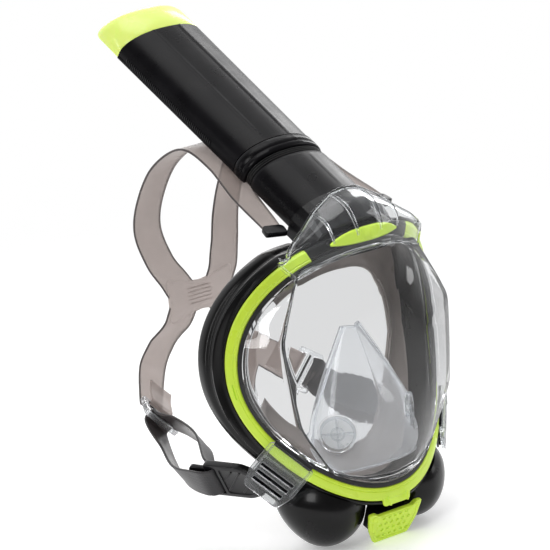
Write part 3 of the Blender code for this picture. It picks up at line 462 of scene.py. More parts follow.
class Wiring:
    """The node tree of a material or a world, emptied so that nodes can be added."""

    def __init__(self, owner, output="OutputMaterial"):
        owner.use_nodes = True
        self.owner = owner
        self.nodes = owner.node_tree.nodes
        self.links = owner.node_tree.links
        self.nodes.clear()
        self.output = self.nodes.new("ShaderNode" + output)

    def add(self, kind, result, inputs=(), **settings):
        """A new node's output of this name; each input is a value or another node's output."""
        made = self.nodes.new("ShaderNode" + kind)
        for name, value in settings.items():
            setattr(made, name, value)
        for socket, value in dict(inputs).items():
            if isinstance(value, bpy.types.NodeSocket):
                self.links.new(value, made.inputs[socket])
            else:
                made.inputs[socket].default_value = value
        return made.outputs[result]

    def noise(self, scale, detail):
        """Fine-grained noise in the piece's own metres."""
        place = self.add("TexCoord", "Object")
        return self.add("TexNoise", "Fac", {"Vector": place, "Scale": scale, "Detail": detail})

    def span(self, source, low, high, start=0.3, end=0.7, shape="LINEAR"):
        """The source between start and end, stretched to run from low to high."""
        ends = {"From Min": start, "From Max": end, "To Min": low, "To Max": high}
        return self.add("MapRange", "Result", {"Value": source, **ends}, interpolation_type=shape)

    def two_colours(self, source, first, second):
        inputs = {"A": (*first, 1.0), "B": (*second, 1.0), "Factor": self.span(source, 0.0, 1.0)}
        return self.add("Mix", "Result", inputs, data_type="RGBA")

    def bumped(self, source, strength, distance):
        return self.add("Bump", "Normal", {"Height": source, "Strength": strength, "Distance": distance})

    def facing(self, blend, flat, edge):
        """A share with one value where the surface is seen flat and another at its edges."""
        return self.span(self.add("LayerWeight", "Facing", {"Blend": blend}), flat, edge, 0.0, 1.0)

    def principled(self, **inputs):
        """A Principled shader; its sockets' names are given in lower case with underscores."""
        names = {name: SOCKETS.get(name, name.replace("_", " ").title()) for name in inputs}
        return self.add("BsdfPrincipled", "BSDF", {names[name]: value for name, value in inputs.items()})

    def mixed(self, share, first, second):
        return self.add("MixShader", "Shader", {"Fac": share, 1: first, 2: second})

    def finish(self, shader):
        self.links.new(shader, self.output.inputs["Surface"])
        return self.owner


SOCKETS = {"ior": "IOR", "gloss": "Specular IOR Level"}


def plastic(name, colour, shade, rough, relief=0.25, coat=0.0, transmission=0.0, subsurface=0.0,
            gloss=0.5, painted_glow=0.0):
    """Moulded plastic or silicone: two close shades, uneven gloss and a fine moulding grain."""
    wiring = Wiring(bpy.data.materials.new(name))
    broad = wiring.noise(38.0, 4.0)
    fine = wiring.noise(900.0, 2.0)
    return wiring.finish(wiring.principled(
        base_color=wiring.two_colours(broad, colour, shade),
        roughness=wiring.span(broad, rough * 0.82, rough * 1.2),
        normal=wiring.bumped(fine, relief, 0.00004),
        coat_weight=coat,
        coat_roughness=0.08,
        transmission_weight=transmission,
        gloss=gloss,
        emission_color=(*colour, 1.0),
        # Painted light: a weak emission in the plastic's own colour, so it shines though it is no lamp.
        emission_strength=painted_glow,
        subsurface_weight=subsurface,
        subsurface_radius=(0.004, 0.003, 0.001),
        subsurface_scale=0.6,
    ))


def see_through(name, colour, shade, rough, clear, tint):
    """A thin translucent silicone: the light that passes is tinted, and the rest is seen on its face."""
    wiring = Wiring(bpy.data.materials.new(name))
    broad = wiring.noise(30.0, 4.0)
    fine = wiring.noise(500.0, 2.0)
    shader = wiring.principled(
        base_color=wiring.two_colours(broad, colour, shade),
        roughness=wiring.span(broad, rough * 0.85, rough * 1.2),
        normal=wiring.bumped(fine, 0.3, 0.00005),
    )
    passing = wiring.add("BsdfTransparent", "BSDF", {"Color": (*tint, 1.0)})
    return wiring.finish(wiring.mixed(wiring.facing(0.30, clear, clear * 0.35), shader, passing))


def clear_plastic(name, tint, rough, ior, wave, relief, milk=0.0):
    """Clear polycarbonate or silicone that lets light through; milk whitens it, most of all edge-on."""
    wiring = Wiring(bpy.data.materials.new(name))
    broad = wiring.noise(wave, 2.0)
    shader = wiring.principled(
        base_color=(*tint, 1.0),
        transmission_weight=1.0,
        ior=ior,
        roughness=wiring.span(broad, rough * 0.5, rough * 1.6),
        normal=wiring.bumped(broad, relief, 0.0004),
    )
    if milk:
        white = wiring.add("BsdfTranslucent", "BSDF", {"Color": (0.92, 0.93, 0.95, 1.0)})
        share = wiring.facing(0.35, milk * 0.5, min(1.0, milk * 2.2))
        shader = wiring.mixed(share, shader, white)
    passing = wiring.add("BsdfTransparent", "BSDF", {"Color": (*[0.96 * value for value in tint], 1.0)})
    return wiring.finish(wiring.mixed(wiring.add("LightPath", "Is Shadow Ray"), shader, passing))


def grip_strap(name, colour, shade, rough):
    """Strap rubber with rows of small raised dots."""
    wiring = Wiring(bpy.data.materials.new(name))
    broad = wiring.noise(30.0, 4.0)
    place = wiring.add("TexCoord", "Object")
    dots = wiring.add("TexVoronoi", "Distance", {"Vector": place, "Scale": 650.0, "Randomness": 0.1})
    return wiring.finish(wiring.principled(
        base_color=wiring.two_colours(broad, colour, shade),
        roughness=wiring.span(broad, rough * 0.85, rough * 1.2),
        normal=wiring.bumped(dots, 0.6, 0.0003),
    ))


# Painted light: both lime plastics get a weak emission in their own colour, so they read brighter than the
# lamps make them.
LIME = plastic("lime_plastic", (0.60, 0.80, 0.055), (0.56, 0.77, 0.048), 0.30, subsurface=0.15,
               coat=0.15, painted_glow=0.10)
CAP_LIME = plastic("cap_lime_plastic", (0.80, 0.95, 0.22), (0.77, 0.93, 0.19), 0.28, subsurface=0.2,
                   coat=0.2, painted_glow=0.22)
BLACK = plastic("black_plastic", (0.004, 0.004, 0.0045), (0.008, 0.0075, 0.009), 0.28, coat=0.1,
                gloss=0.25)
TUBE_BLACK = plastic("tube_black", (0.003, 0.0027, 0.0036), (0.006, 0.0054, 0.007), 0.30, relief=0.15,
                     gloss=0.15)
SILICONE = plastic("skirt_silicone", (0.003, 0.003, 0.003), (0.007, 0.0065, 0.007), 0.24, relief=0.1,
                   coat=0.12, gloss=0.2)
RUBBER = plastic("gasket_rubber", (0.010, 0.010, 0.010), (0.020, 0.020, 0.020), 0.50, relief=0.5)
FLAP = plastic("valve_flap", (0.86, 0.87, 0.88), (0.78, 0.79, 0.80), 0.30, transmission=0.55)
SEAL = see_through("seal_silicone", (0.30, 0.26, 0.24), (0.22, 0.19, 0.175), 0.30, 0.34,
                   (0.68, 0.63, 0.60))
STRAP = see_through("strap_silicone", (0.50, 0.44, 0.415), (0.43, 0.38, 0.355), 0.36, 0.58,
                    (0.86, 0.81, 0.79))
STRAP_EDGE = see_through("strap_edge", (0.085, 0.072, 0.07), (0.06, 0.05, 0.05), 0.30, 0.12,
                         (0.4, 0.36, 0.35))
STRAP_BLACK = grip_strap("strap_black", (0.016, 0.015, 0.017), (0.028, 0.026, 0.028), 0.42)
CLEAR = clear_plastic("visor_clear", (0.985, 0.992, 1.0), 0.012, 1.45, 26.0, 0.02)
CROWN_CLEAR = clear_plastic("crown_clear", (0.96, 0.975, 0.985), 0.02, 1.47, 45.0, 0.06)
CLIP_CLEAR = clear_plastic("clip_clear", (0.90, 0.915, 0.925), 0.04, 1.47, 90.0, 0.1, 0.16)
# Painted shade: dark tinted glass for a bead inside the visor's crease, standing in for the dark line the
# bent glass shows there.
CREASE_SHADE_GLASS = clear_plastic("visor_edge", (0.10, 0.10, 0.11), 0.05, 1.45, 45.0, 0.06)
POCKET_CLEAR = clear_plastic("pocket_silicone", (0.93, 0.945, 0.96), 0.05, 1.42, 110.0, 0.45, 0.26)


# ---- Rim -------------------------------------------------------------------------------------


def signed_power(value, exponent):
    return math.copysign(abs(value) ** exponent, value)


def rim_outline(angle):
    x = RIM_HALF_WIDTH * signed_power(math.cos(angle), RIM_SIDE_POWER)
    z = RIM_HALF_HEIGHT * signed_power(math.sin(angle), RIM_TOP_POWER)
    low = max(0.0, -z / RIM_HALF_HEIGHT)
    x *= 1.0 - RIM_CHIN_NARROWING * low**2
    z += RIM_SHOULDER_RISE * (1.0 - (z / RIM_HALF_HEIGHT) ** 2)
    if z < 0.0:
        z *= RIM_LOWER_SCALE
    return x, z


def rim_normal(angle):
    step = 0.03
    x0, z0 = rim_outline(angle - step)
    x1, z1 = rim_outline(angle + step)
    return Vector((z1 - z0, 0.0, x0 - x1)).normalized()


def rim_depth(x, z):
    return RIM_SIDE_Y - RIM_SWEEP * (1.0 - (x / RIM_HALF_WIDTH) ** 2) + RIM_LEAN * z


def rim_point(angle, out=0.0, back=0.0):
    """A point beside the rim: out from the opening's centre, and back towards the head."""
    x, z = rim_outline(angle)
    return Vector((x, rim_depth(x, z) + back, z)) + out * rim_normal(angle)


def band_point(angle, across, depth):
    """A point beside the rim measured on the band, whose face turns outwards at the sides."""
    turn = RING_TURN * math.cos(angle) ** 2
    out = across * math.cos(turn) - depth * math.sin(turn)
    back = across * math.sin(turn) + depth * math.cos(turn)
    return rim_point(angle, out, back)


def rim_angles(steps=RIM_STEPS, start=0.0, sweep=2 * math.pi):
    whole = sweep > 2 * math.pi - 1e-6
    return [start + sweep * i / steps for i in range(steps if whole else steps + 1)]


def band_loft(name, profile, steps=RIM_STEPS, start=0.0, sweep=2 * math.pi):
    angles = rim_angles(steps, start, sweep)
    sections = [[band_point(a, across, depth) for across, depth in profile] for a in angles]
    return loft(name, sections, closed=sweep > 2 * math.pi - 1e-6)


def frame_ring():
    """The lime ring: a rounded band with a step inside its outer edge, side notches and a chin tab."""
    half = RING_HALF_BAND
    outline = [
        (-half, 0.0026), (-half, -0.0014), (-0.0030, -0.0022), (-0.0024, -0.0016),
        (-0.0018, -0.0022), (0.0030, -0.0022), (0.0036, -0.0016), (half, -0.0012), (half, 0.0026),
    ]
    mesh = band_loft("frame_ring", rounded(outline, 0.0006, 3))
    notches = []
    for angle in (math.pi + RING_NOTCH, -RING_NOTCH):
        along = band_point(angle + 0.06, 0.0, 0.0) - band_point(angle - 0.06, 0.0, 0.0)
        out = band_point(angle, 0.004, 0.0) - band_point(angle, -0.004, 0.0)
        place = frame_of(band_point(angle, -0.0004, -0.0024), along, out)
        notch = block("notch", rounded(rectangle(0.0013, 0.0115), 0.0006), -0.0014, 0.0014, 0.0001)
        notches.append(placed(notch, place))
    mesh = cut(mesh, notches)
    item = piece("ring", mesh, LIME, "mask", ["frame_ring"], 30)
    # Painted shade: the ring's faces under the crown get black plastic in place of lime, standing in for the
    # shade there.
    item.data.materials.append(BLACK)
    for face in item.data.polygons:
        shaded_under_crown = abs(face.center.x) < RING_SHADED_SHARE * face.center.z
        face.material_index = 1 if shaded_under_crown else 0
    foot = rim_point(1.5 * math.pi)
    tab = block("chin_tab", rounded([(-0.0135, 0.0), (0.0135, 0.0), (0.0118, -0.0098), (-0.0118,
                                                                                        -0.0098)], 0.002),
                -0.0022, 0.0, 0.0007)
    place = Matrix.Translation(foot + Vector((0.0, -0.0012, 0.0010))) @ UPRIGHT
    piece("chin_tab", placed(tab, place), LIME, "mask")
    lines = []
    for side in (-1, 1):
        start = foot + Vector((side * 0.0088, -0.0036, -0.0010))
        end = foot + Vector((side * 0.0078, -0.0036, -0.0080))
        lines.append(tube("chin_tab_rail", [start, start.lerp(end, 0.5), end], 0.0007, 8, up=ALONG_Y))
    piece("chin_tab_rails", joined("chin_tab_rails", lines), LIME, "mask")


def lens_gasket():
    inner = GASKET_OUTER - 0.0033
    outline = rounded([(inner, -0.0008), (GASKET_OUTER, -0.0012), (GASKET_OUTER, 0.0034), (inner,
                                                                                           0.0034)], 0.0007)
    piece("lens_gasket_seal", band_loft("lens_gasket_seal", outline), RUBBER, "mask", ["lens_gasket"])


# ---- Visor and crown -------------------------------------------------------------------------


def corner_cut(points, share=0.14):
    """A closed polygon with each corner cut off, once."""
    result = []
    for i, point in enumerate(points):
        result.append(point.lerp(points[i - 1], share))
        result.append(point.lerp(points[(i + 1) % len(points)], share))
    return result


def crease_polygon():
    corners = list(VISOR_CREASE) + [flipped(corner) for corner in reversed(VISOR_CREASE[1:-1])]
    for share in (0.09, 0.25):
        corners = corner_cut(corners, share)
    return corners


CREASE = crease_polygon()


def visor_crease(angle):
    """Where a ray from the centre, in the direction of this rim point, meets the crease."""
    x, z = rim_outline(angle)
    for first, second in zip(CREASE, CREASE[1:] + CREASE[:1]):
        before = first.x * z - first.z * x
        after = second.x * z - second.z * x
        ahead = first.x * x + first.z * z > 0.0 and second.x * x + second.z * z > 0.0
        if ahead and before * after <= 0.0 and abs(before - after) > 1e-12:
            return first.lerp(second, before / (before - after))
    return CREASE[0].copy()


def visor_pane(angle, share):
    crease = visor_crease(angle)
    bend = max(0.0, (share - VISOR_FLAT_SHARE) / (1.0 - VISOR_FLAT_SHARE))
    y = VISOR_FRONT_Y + (crease.y - VISOR_FRONT_Y) * bend**1.6
    return Vector((crease.x * share, y, crease.z * share))


def inward(point, depth):
    reach = math.hypot(point.x, point.z)
    shrink = 1.0 - depth / reach
    return Vector((point.x * shrink, point.y + depth, point.z * shrink))


def visor():
    angles = rim_angles()
    foot = [band_point(a, VISOR_EDGE, -0.0015) for a in angles]
    crease = [visor_crease(a) for a in angles]
    rows = [[band_point(a, VISOR_EDGE, 0.0020) for a in angles], foot]
    for share in (0.15, 0.35, 0.6, 0.85, 0.95):
        swell = Vector((0.0, -0.0012, 0.0)) * math.sin(share * math.pi)
        rows.append([low.lerp(high, share) + swell for low, high in zip(foot, crease)])
    panes = (0.985, 0.95, 0.88, 0.78, 0.68, 0.58, 0.5, 0.3, 0.12)
    for share in panes:
        rows.append([visor_pane(a, share) for a in angles])
    inner = []
    for index, row in enumerate(rows):
        if index < 2:
            depth = 0.0020 if index == 0 else -0.0005
            inner.append([band_point(a, VISOR_EDGE - VISOR_WALL, depth) for a in angles])
        elif index < 7:
            inner.append([inward(point, VISOR_WALL) for point in row])
        else:
            inner.append([point + Vector((0.0, VISOR_WALL, 0.0)) for point in row])
    mesh = loft("visor", rows[::-1] + inner)
    piece("visor", mesh, CLEAR, "mask", ["visor_lens"], 50)
    # Painted shade: a dark tinted bead along the inside of the crease gives the crease its dark line.
    edge = [inward(visor_crease(a), VISOR_WALL * 0.5) for a in angles]
    bead = tube("visor_crease_bead", edge, 0.0007, 8, True, ALONG_Y)
    piece("visor_crease_bead", bead, CREASE_SHADE_GLASS, "mask")


def crown_angle(share):
    return 0.5 * math.pi - CROWN_SPREAD * share


def crown_rim(share):
    """The crown's open edge: a short flat top, then straight shoulders down to each side."""
    for (start, low), (end, high) in zip(CROWN_RIM, CROWN_RIM[1:]):
        if start <= abs(share) <= end:
            point = low.lerp(high, (abs(share) - start) / (end - start))
            return Vector((math.copysign(point.x, share), point.y, point.z))


def crown_columns():
    """From the foot on the visor, over the ring's brow, to the crown's open rim."""
    shares = [-1.0 + 2.0 * i / CROWN_STEPS for i in range(CROWN_STEPS + 1)]
    columns = []
    for share in shares:
        angle = crown_angle(share)
        foot = band_point(angle, VISOR_EDGE - 0.0008, -CROWN_STANDOFF)
        brow = band_point(angle, RING_HALF_BAND + 0.001, -CROWN_STANDOFF)
        rim = crown_rim(share)
        swell = Vector((0.0, -CROWN_BULGE, CROWN_BULGE)) * math.cos(share * 0.5 * math.pi)
        middle = brow.lerp(rim, 0.5) + swell
        columns.append(curve_through([foot, brow, middle, rim], 8))
    return columns


def crown():
    columns = crown_columns()
    rows = [list(row) for row in zip(*columns)]
    wall = thicken(sheet("crown_wall", rows), CROWN_WALL)
    piece("crown", wall, CROWN_CLEAR, "mask", sharp=50)
    border = rows[-1]
    sides = [columns[0], columns[-1]]
    beads = [tube("crown_rim_bead", border, CROWN_BEAD, 10)]
    beads += [tube("crown_side_bead", side, CROWN_BEAD, 10) for side in sides]
    foot_path = [point + Vector((0.0, -0.0004, 0.0)) for point in rows[0]]
    beads.append(tube("crown_foot_bead", foot_path, 0.0011, 8))
    piece("crown_beads", joined("crown_beads", beads), CROWN_CLEAR, "mask")
    ribs = []
    for side in (-1, 1):
        for place, reach in ((CROWN_RIB_X, 0.0034), (0.030, 0.0024)):
            nearest = min(columns, key=lambda c: abs(c[-1].x - side * place))
            spine = nearest[6:]
            half = Vector((0.0006, 0.0, 0.0))
            sections = []
            for index, point in enumerate(spine):
                rise = reach * math.sin(math.pi * (index + 1) / (len(spine) + 1)) ** 0.6
                top = point + Vector((0.0, -0.72 * rise, 0.69 * rise))
                sections.append([point - half, point + half, top + half, top - half])
            ribs.append(loft("crown_rib", sections))
    piece("crown_ribs", joined("crown_ribs", ribs), CROWN_CLEAR, "mask")


def top_badge():
    """A blank lime plate on the ring under the crown, drawn out to a point at each end."""
    near = -0.0026
    sweep = math.radians(33)
    steps = 48
    sections = []
    for i in range(steps + 1):
        along = 2.0 * i / steps - 1.0
        half = 0.0008 + 0.0044 * (1.0 - abs(along) ** 2.6)
        outline = [(-half, near - 0.0010), (-half * 0.8, near - 0.0016), (half * 0.8, near - 0.0016),
                   (half, near - 0.0010), (half, near), (-half, near)]
        angle = 0.5 * math.pi + 0.5 * sweep * along
        sections.append([band_point(angle, across + 0.0004, depth) for across, depth in outline])
    piece("badge", loft("badge", sections), LIME, "mask", ["top_badge"], 30)


# ---- Skirt, lobes, seal and pocket -----------------------------------------------------------


def outer_skirt():
    """Glossy silicone that wraps the ring's rim and runs back to the face."""
    out, back, wall = SKIRT_OUT, SKIRT_BACK, 0.004
    start = math.radians(90 + 22.5)
    angles = rim_angles(150, start, math.radians(315))

    def section(angle):
        share = abs(angle - 1.5 * math.pi) / math.radians(157.5)
        narrow = 1.0 - 0.55 * max(0.0, share - 0.93) / 0.07
        swell = 0.0012 * (1.0 - share)
        outside = [
            band_point(angle, -0.0028, 0.0036),
            band_point(angle, 0.0054, 0.0034),
            band_point(angle, 0.0055, -0.0003),
            band_point(angle, 0.0068, -0.0002),
            band_point(angle, 0.0082, 0.0016),
            rim_point(angle, (out + swell) * narrow, 0.011),
            rim_point(angle, (out - 0.0014) * narrow, 0.016),
            rim_point(angle, (out + swell) * narrow, 0.021),
            rim_point(angle, out * narrow, back - 0.003),
            rim_point(angle, out * narrow - 0.0014, back),
            rim_point(angle, out * narrow - wall, back - 0.001),
            rim_point(angle, out * narrow - wall, back - 0.006),
            rim_point(angle, out * narrow - wall - 0.0002, 0.014),
            band_point(angle, -0.0028, 0.0056),
        ]
        return curve_through(outside, 3, closed=True)

    mesh = loft("skirt", [section(angle) for angle in angles])
    piece("skirt", mesh, SILICONE, "mask", ["outer_skirt"], 60)


def rim_plug():
    section = [[rim_point(a, SKIRT_OUT - 0.0006, back) for a in rim_angles(96)] for back in (-0.012, 0.045)]
    return loft("rim_plug", section)


def pear(point, side):
    """Draws the lobe's outer upper part out towards the skirt, and its inner side in behind the valve."""
    out = max(0.0, side * (point.x / LOBE_RADII[0]))
    inner = max(0.0, -side * (point.x / LOBE_RADII[0]))
    up = min(1.0, max(0.0, 0.75 + point.z / LOBE_RADII[2]))
    across = side * (0.0075 * out * up - 0.0080 * inner)
    return point + Vector((across, 0.0050 * out * up, 0.0035 * out * up))


def chin_lobes():
    """Two rounded lobes under the chin."""
    for side, name in ((-1, "chin_lobe_r"), (1, "chin_lobe_l")):
        centre = Vector((side * LOBE_CENTRE.x, LOBE_CENTRE.y, LOBE_CENTRE.z))
        shell = ellipsoid(name, LOBE_RADII, Vector())
        for vertex in shell.vertices:
            vertex.co = centre + pear(vertex.co, side)
        mesh = cut(shell, [rim_plug()])
        piece(name + "_skin", mesh, SILICONE, "mask", [name], 50)


def seal_lip(angle):
    x = SEAL_LIP_HALF_WIDTH * signed_power(math.cos(angle), 0.9)
    height = math.sin(angle)
    z = SEAL_LIP_TOP * height if height > 0.0 else -SEAL_LIP_BOTTOM * height
    y = SEAL_LIP_Y + SEAL_LIP_SWEEP * (x / SEAL_LIP_HALF_WIDTH) ** 2
    x *= 1.0 - SEAL_CHIN_NARROWING * max(0.0, -height)
    return Vector((x, y, z))


def face_seal():
    angles = rim_angles(160)
    columns = []
    for a in angles:
        rear = rim_point(a, -0.008, 0.0265)
        lip = seal_lip(a)
        knots = [
            band_point(a, -0.0075, 0.0060),
            rim_point(a, -0.0070, 0.018),
            rear,
            rear.lerp(lip, 0.5) + Vector((0.0, 0.0038, 0.0)),
            lip,
        ]
        columns.append(curve_through(knots, 6))
    rows = [list(row) for row in zip(*columns)]
    dark_rows = 11
    outer_wall = thicken(sheet("seal_wall", rows[:dark_rows + 1], wrap=True), 0.0016)
    piece("seal_wall", outer_wall, SILICONE, "mask", ["face_seal"], 60)
    inner_wall = thicken(sheet("seal_face", rows[dark_rows:], wrap=True), 0.0016)
    piece("seal_face", inner_wall, SEAL, "mask", sharp=60)
    lip = [seal_lip(a) + Vector((0.0, 0.0006, 0.0)) for a in angles]
    bead = tube("seal_lip_bead", lip, 0.0013, 10, True, ALONG_Y)
    piece("seal_lip_bead", bead, SEAL, "mask")


def pocket_columns(steps=72):
    """The pocket's outline at each place across it: a nose ridge above, a rounded cup below."""
    columns = []
    for i in range(steps + 1):
        turn = math.pi * i / steps
        column = []
        for z, half, back_y, front_y in POCKET_LEVELS:
            ridge = min(1.0, max(0.0, (z + 0.040) / 0.060))
            round_share = math.sin(turn) ** 0.8
            sharp_share = 1.0 - abs(math.cos(turn)) ** 0.9
            share = round_share + (0.75 * sharp_share + 0.25 * round_share - round_share) * ridge
            column.append(Vector((-half * math.cos(turn), back_y + (front_y - back_y) * share, z)))
        columns.append(curve_through(column, 6))
    return columns


def valve_frame(side):
    centre = Vector((side * VALVE_CENTRE.x, VALVE_CENTRE.y, VALVE_CENTRE.z))
    turn = Matrix.Rotation(side * VALVE_TURN, 4, "Z") @ UPRIGHT
    return Matrix.Translation(centre) @ turn


def orinasal_pocket():
    columns = pocket_columns()
    rows = [list(row) for row in zip(*columns)]
    wall = thicken(sheet("pocket", rows), 0.0014)
    ports = [placed(cylinder("port", VALVE_RADIUS + 0.0004, 0.03), valve_frame(side)) for side in (-1, 1)]
    piece("pocket", cut(wall, ports), POCKET_CLEAR, "mask", ["orinasal_pocket"], 50)
    edge = [column[0] for column in columns]
    side_edges = [columns[0], columns[-1]]
    foot = [column[-1] for column in columns]
    beads = [tube("pocket_bead", path, 0.0022, 10, up=Vector((0.3, 1.0, 0.1))) for path in side_edges]
    beads += [tube("pocket_bead", path, 0.0011, 8) for path in (edge, foot)]
    piece("pocket_beads", joined("pocket_beads", beads), POCKET_CLEAR, "mask")


def inhale_valves():
    for side in (-1, 1):
        frame_here = valve_frame(side)
        ring = disc("seat", rounded([(0.0113, -0.0016), (VALVE_RADIUS, -0.0016), (VALVE_RADIUS, 0.0016),
                                     (0.0113, 0.0016)], 0.0006, 3))
        inner = disc("seat_inner", rounded([(0.0040, -0.0007), (0.0052, -0.0007), (0.0052, 0.0009),
                                            (0.0040, 0.0009)], 0.0003, 2), 40)
        spokes = []
        for turn in (0.0, math.radians(90)):
            outline = rounded(rectangle(0.0236, 0.0015), 0.0003, 2)
            spoke = block("spoke", outline, -0.0009, 0.0009, 0.0003)
            spokes.append(placed(spoke, Matrix.Rotation(turn, 4, "Z")))
        mesh = placed(joined("valve_seat", [ring, inner] + spokes), frame_here)
        name = side_name("inhale_valve_seat", side)
        piece(name + "_grid", mesh, CLIP_CLEAR, "mask", [name])
        low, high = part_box(side_name("inhale_valve_flap", side))
        centre = (low + high) / 2
        flap = disc("flap", [(0.0002, -0.0004), (0.0120, -0.0004), (0.0127, -0.0002), (0.0127, 0.0002),
                             (0.0120, 0.0004), (0.0002, 0.0005)], 48)
        turn = frame_here.to_3x3().to_4x4()
        name = side_name("inhale_valve_flap", side)
        piece(name + "_disc", placed(flap, Matrix.Translation(centre) @ turn), FLAP, name, [name])


# ---- Purge valve -----------------------------------------------------------------------------


def purge_frame():
    return Matrix.Translation(PURGE_ORIGIN) @ Matrix.Rotation(PURGE_TILT, 4, "X")


def purge_cover():
    """The lime cover: a rounded trapezoid with rows of grip dimples and a raised border."""
    stand = purge_frame() @ UPRIGHT
    half = [(0.0160, -0.0135), (0.0222, -0.0010), (0.0246, 0.0135), (0.0192, 0.0137), (0.0165, 0.0108)]
    outline = rounded(half + [(-x, y) for x, y in reversed(half)], 0.0022, 5)
    body = block("cover", outline, 0.0, 0.0032, 0.0012, 5)
    holes = []
    for row in range(4):
        for column in range(6):
            x = (column - 2.5 + 0.5 * (row % 2)) * 0.0052
            y = (row - 1.5) * 0.0050
            if abs(x) > 0.0150:
                continue
            bm = bmesh.new()
            bmesh.ops.create_uvsphere(bm, u_segments=16, v_segments=10, radius=0.0016,
                                      matrix=Matrix.Translation((x, y, 0.0036)))
            holes.append(to_mesh("dimple", bm))
    body = cut(body, [joined("dimples", holes)])
    piece("purge_cover_plate", placed(body, stand), LIME, "mask", ["purge_cover"], 40)
    path = [stand @ Vector((p.x * 0.86, p.y * 0.82, 0.0031)) for p in outline]
    border = tube("purge_cover_border", path, 0.0006, 8, True, ALONG_Y)
    piece("purge_cover_border", border, LIME, "mask")
    paint(BLACK, "purge_housing", "purge_valve_seat")
    paint(FLAP, "purge_membrane")


# ---- Snorkel ---------------------------------------------------------------------------------


def snorkel_frame():
    return Matrix.Translation(SNORKEL_ORIGIN) @ Matrix.Rotation(-SNORKEL_LEAN, 4, "X")


def tube_half(z, grow):
    widening = 1.0 + TUBE_WIDENING * max(0.0, z - BASE_LENGTH) / (TUBE_TOP - BASE_LENGTH)
    return TUBE_HALF * widening + grow


def tube_front(x, z, grow, ridge=0.0):
    share = min(1.0, abs(x) / tube_half(z, grow))
    arch = TUBE_SIDE + (TUBE_BULGE + grow) * math.sqrt(1.0 - share**TUBE_POWER)
    return arch + ridge * math.exp(-(((abs(x) - TUBE_RIDGE_X) / 0.0009) ** 2))


def d_outline(z, grow=0.0, ridge=0.0, steps=64, corner=0.0022):
    """The tube's outline in (x, y): a rounded flat back and a bowed front with two low ridges."""
    half = tube_half(z, grow)
    points = []
    for k in range(5):
        turn = math.radians(90) * k / 4
        points.append((-half + corner * (1 - math.sin(turn)), grow - corner * (1 - math.cos(turn))))
    points.sort(key=lambda p: -p[1])
    for i in range(steps + 1):
        x = -half * math.cos(math.pi * i / steps)
        points.append((x, -tube_front(x, z, grow, ridge)))
    for k in range(5):
        turn = math.radians(90) * k / 4
        points.append((half - corner * (1 - math.cos(turn)), grow - corner * (1 - math.sin(turn))))
    return points


def d_section(z, grow=0.0, slope=0.0, ridge=0.0, share=1.0):
    middle = -(TUBE_SIDE + TUBE_BULGE) / 2
    section = []
    for x, y in d_outline(z, grow, ridge):
        place_y = middle + (y - middle) * share
        section.append(Vector((x * share, place_y, z + slope * place_y)))
    return section


def d_sleeve(name, levels, wall_inside):
    """A hollow D tube through (z, grow, slope, ridge) levels, with an inner wall."""
    sections = [d_section(z, grow, slope, ridge) for z, grow, slope, ridge in levels]
    top, foot = levels[-1], levels[0]
    sections.append(d_section(top[0], wall_inside, top[2]))
    sections.append(d_section(foot[0], wall_inside, foot[2]))
    return loft(name, sections, closed=True)


def snorkel_lower():
    place = snorkel_frame()
    levels = [(-0.014, -0.0015, 0, 0), (0.0, -0.0015, 0, 0), (0.0003, 0.0, 0, 0), (0.004, 0.0, 0, 0.0),
              (0.012, 0.0, 0, 0.0003), (0.040, 0.0, 0, 0.0004), (0.046, 0.0, 0, 0.0002), (0.0488, -0.0002,
                                                                                          0, 0),
              (0.0499, -0.0009, 0, 0)]
    mesh = placed(d_sleeve("base", levels, -0.0035), place)
    piece("snorkel_foot", mesh, TUBE_BLACK, "snorkel_lower", ["snorkel_base"], 60)
    gasket = d_sleeve("gasket", [(-0.010, 0.0001, 0, 0), (-0.00875, 0.0003, 0, 0), (-0.0075, 0.0001, 0, 0)],
                      -0.0012)
    piece("foot_gasket", placed(gasket, place), RUBBER, "snorkel_lower", ["socket_gasket"])
    paint(BLACK, "snorkel_socket")


def flexible_joint():
    """A short bellows between the foot and the collar."""
    low = BASE_LENGTH + 0.0003
    folds = 3
    length = FLEX_LENGTH - 0.0006
    levels = []
    for i in range(folds * 8 + 1):
        share = i / (folds * 8)
        wave = -0.0012 + 0.0007 * math.cos(2 * math.pi * folds * share + math.pi)
        levels.append((low + length * share, wave, 0, 0))
    mesh = placed(d_sleeve("bellows", levels, -0.0030), snorkel_frame())
    item = add_object("bellows", mesh)
    mesh.materials.append(RUBBER)
    mesh.shade_smooth()
    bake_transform(item)
    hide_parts("flexible_joint")


def front_shell_section(z, slope, ridge):
    split = TUBE_SPLIT + 0.0003
    outline = d_outline(z, 0.0, ridge)
    outer = [p for p in outline if p[1] < -split]
    inner = [p for p in d_outline(z, -TUBE_WALL) if p[1] < -split]
    half = tube_half(z, 0.0)
    outer = [(-half, -split)] + outer + [(half, -split)]
    inner = [(-half + TUBE_WALL, -split)] + inner + [(half - TUBE_WALL, -split)]
    return [Vector((x, y, z + slope * y)) for x, y in outer + inner[::-1]]


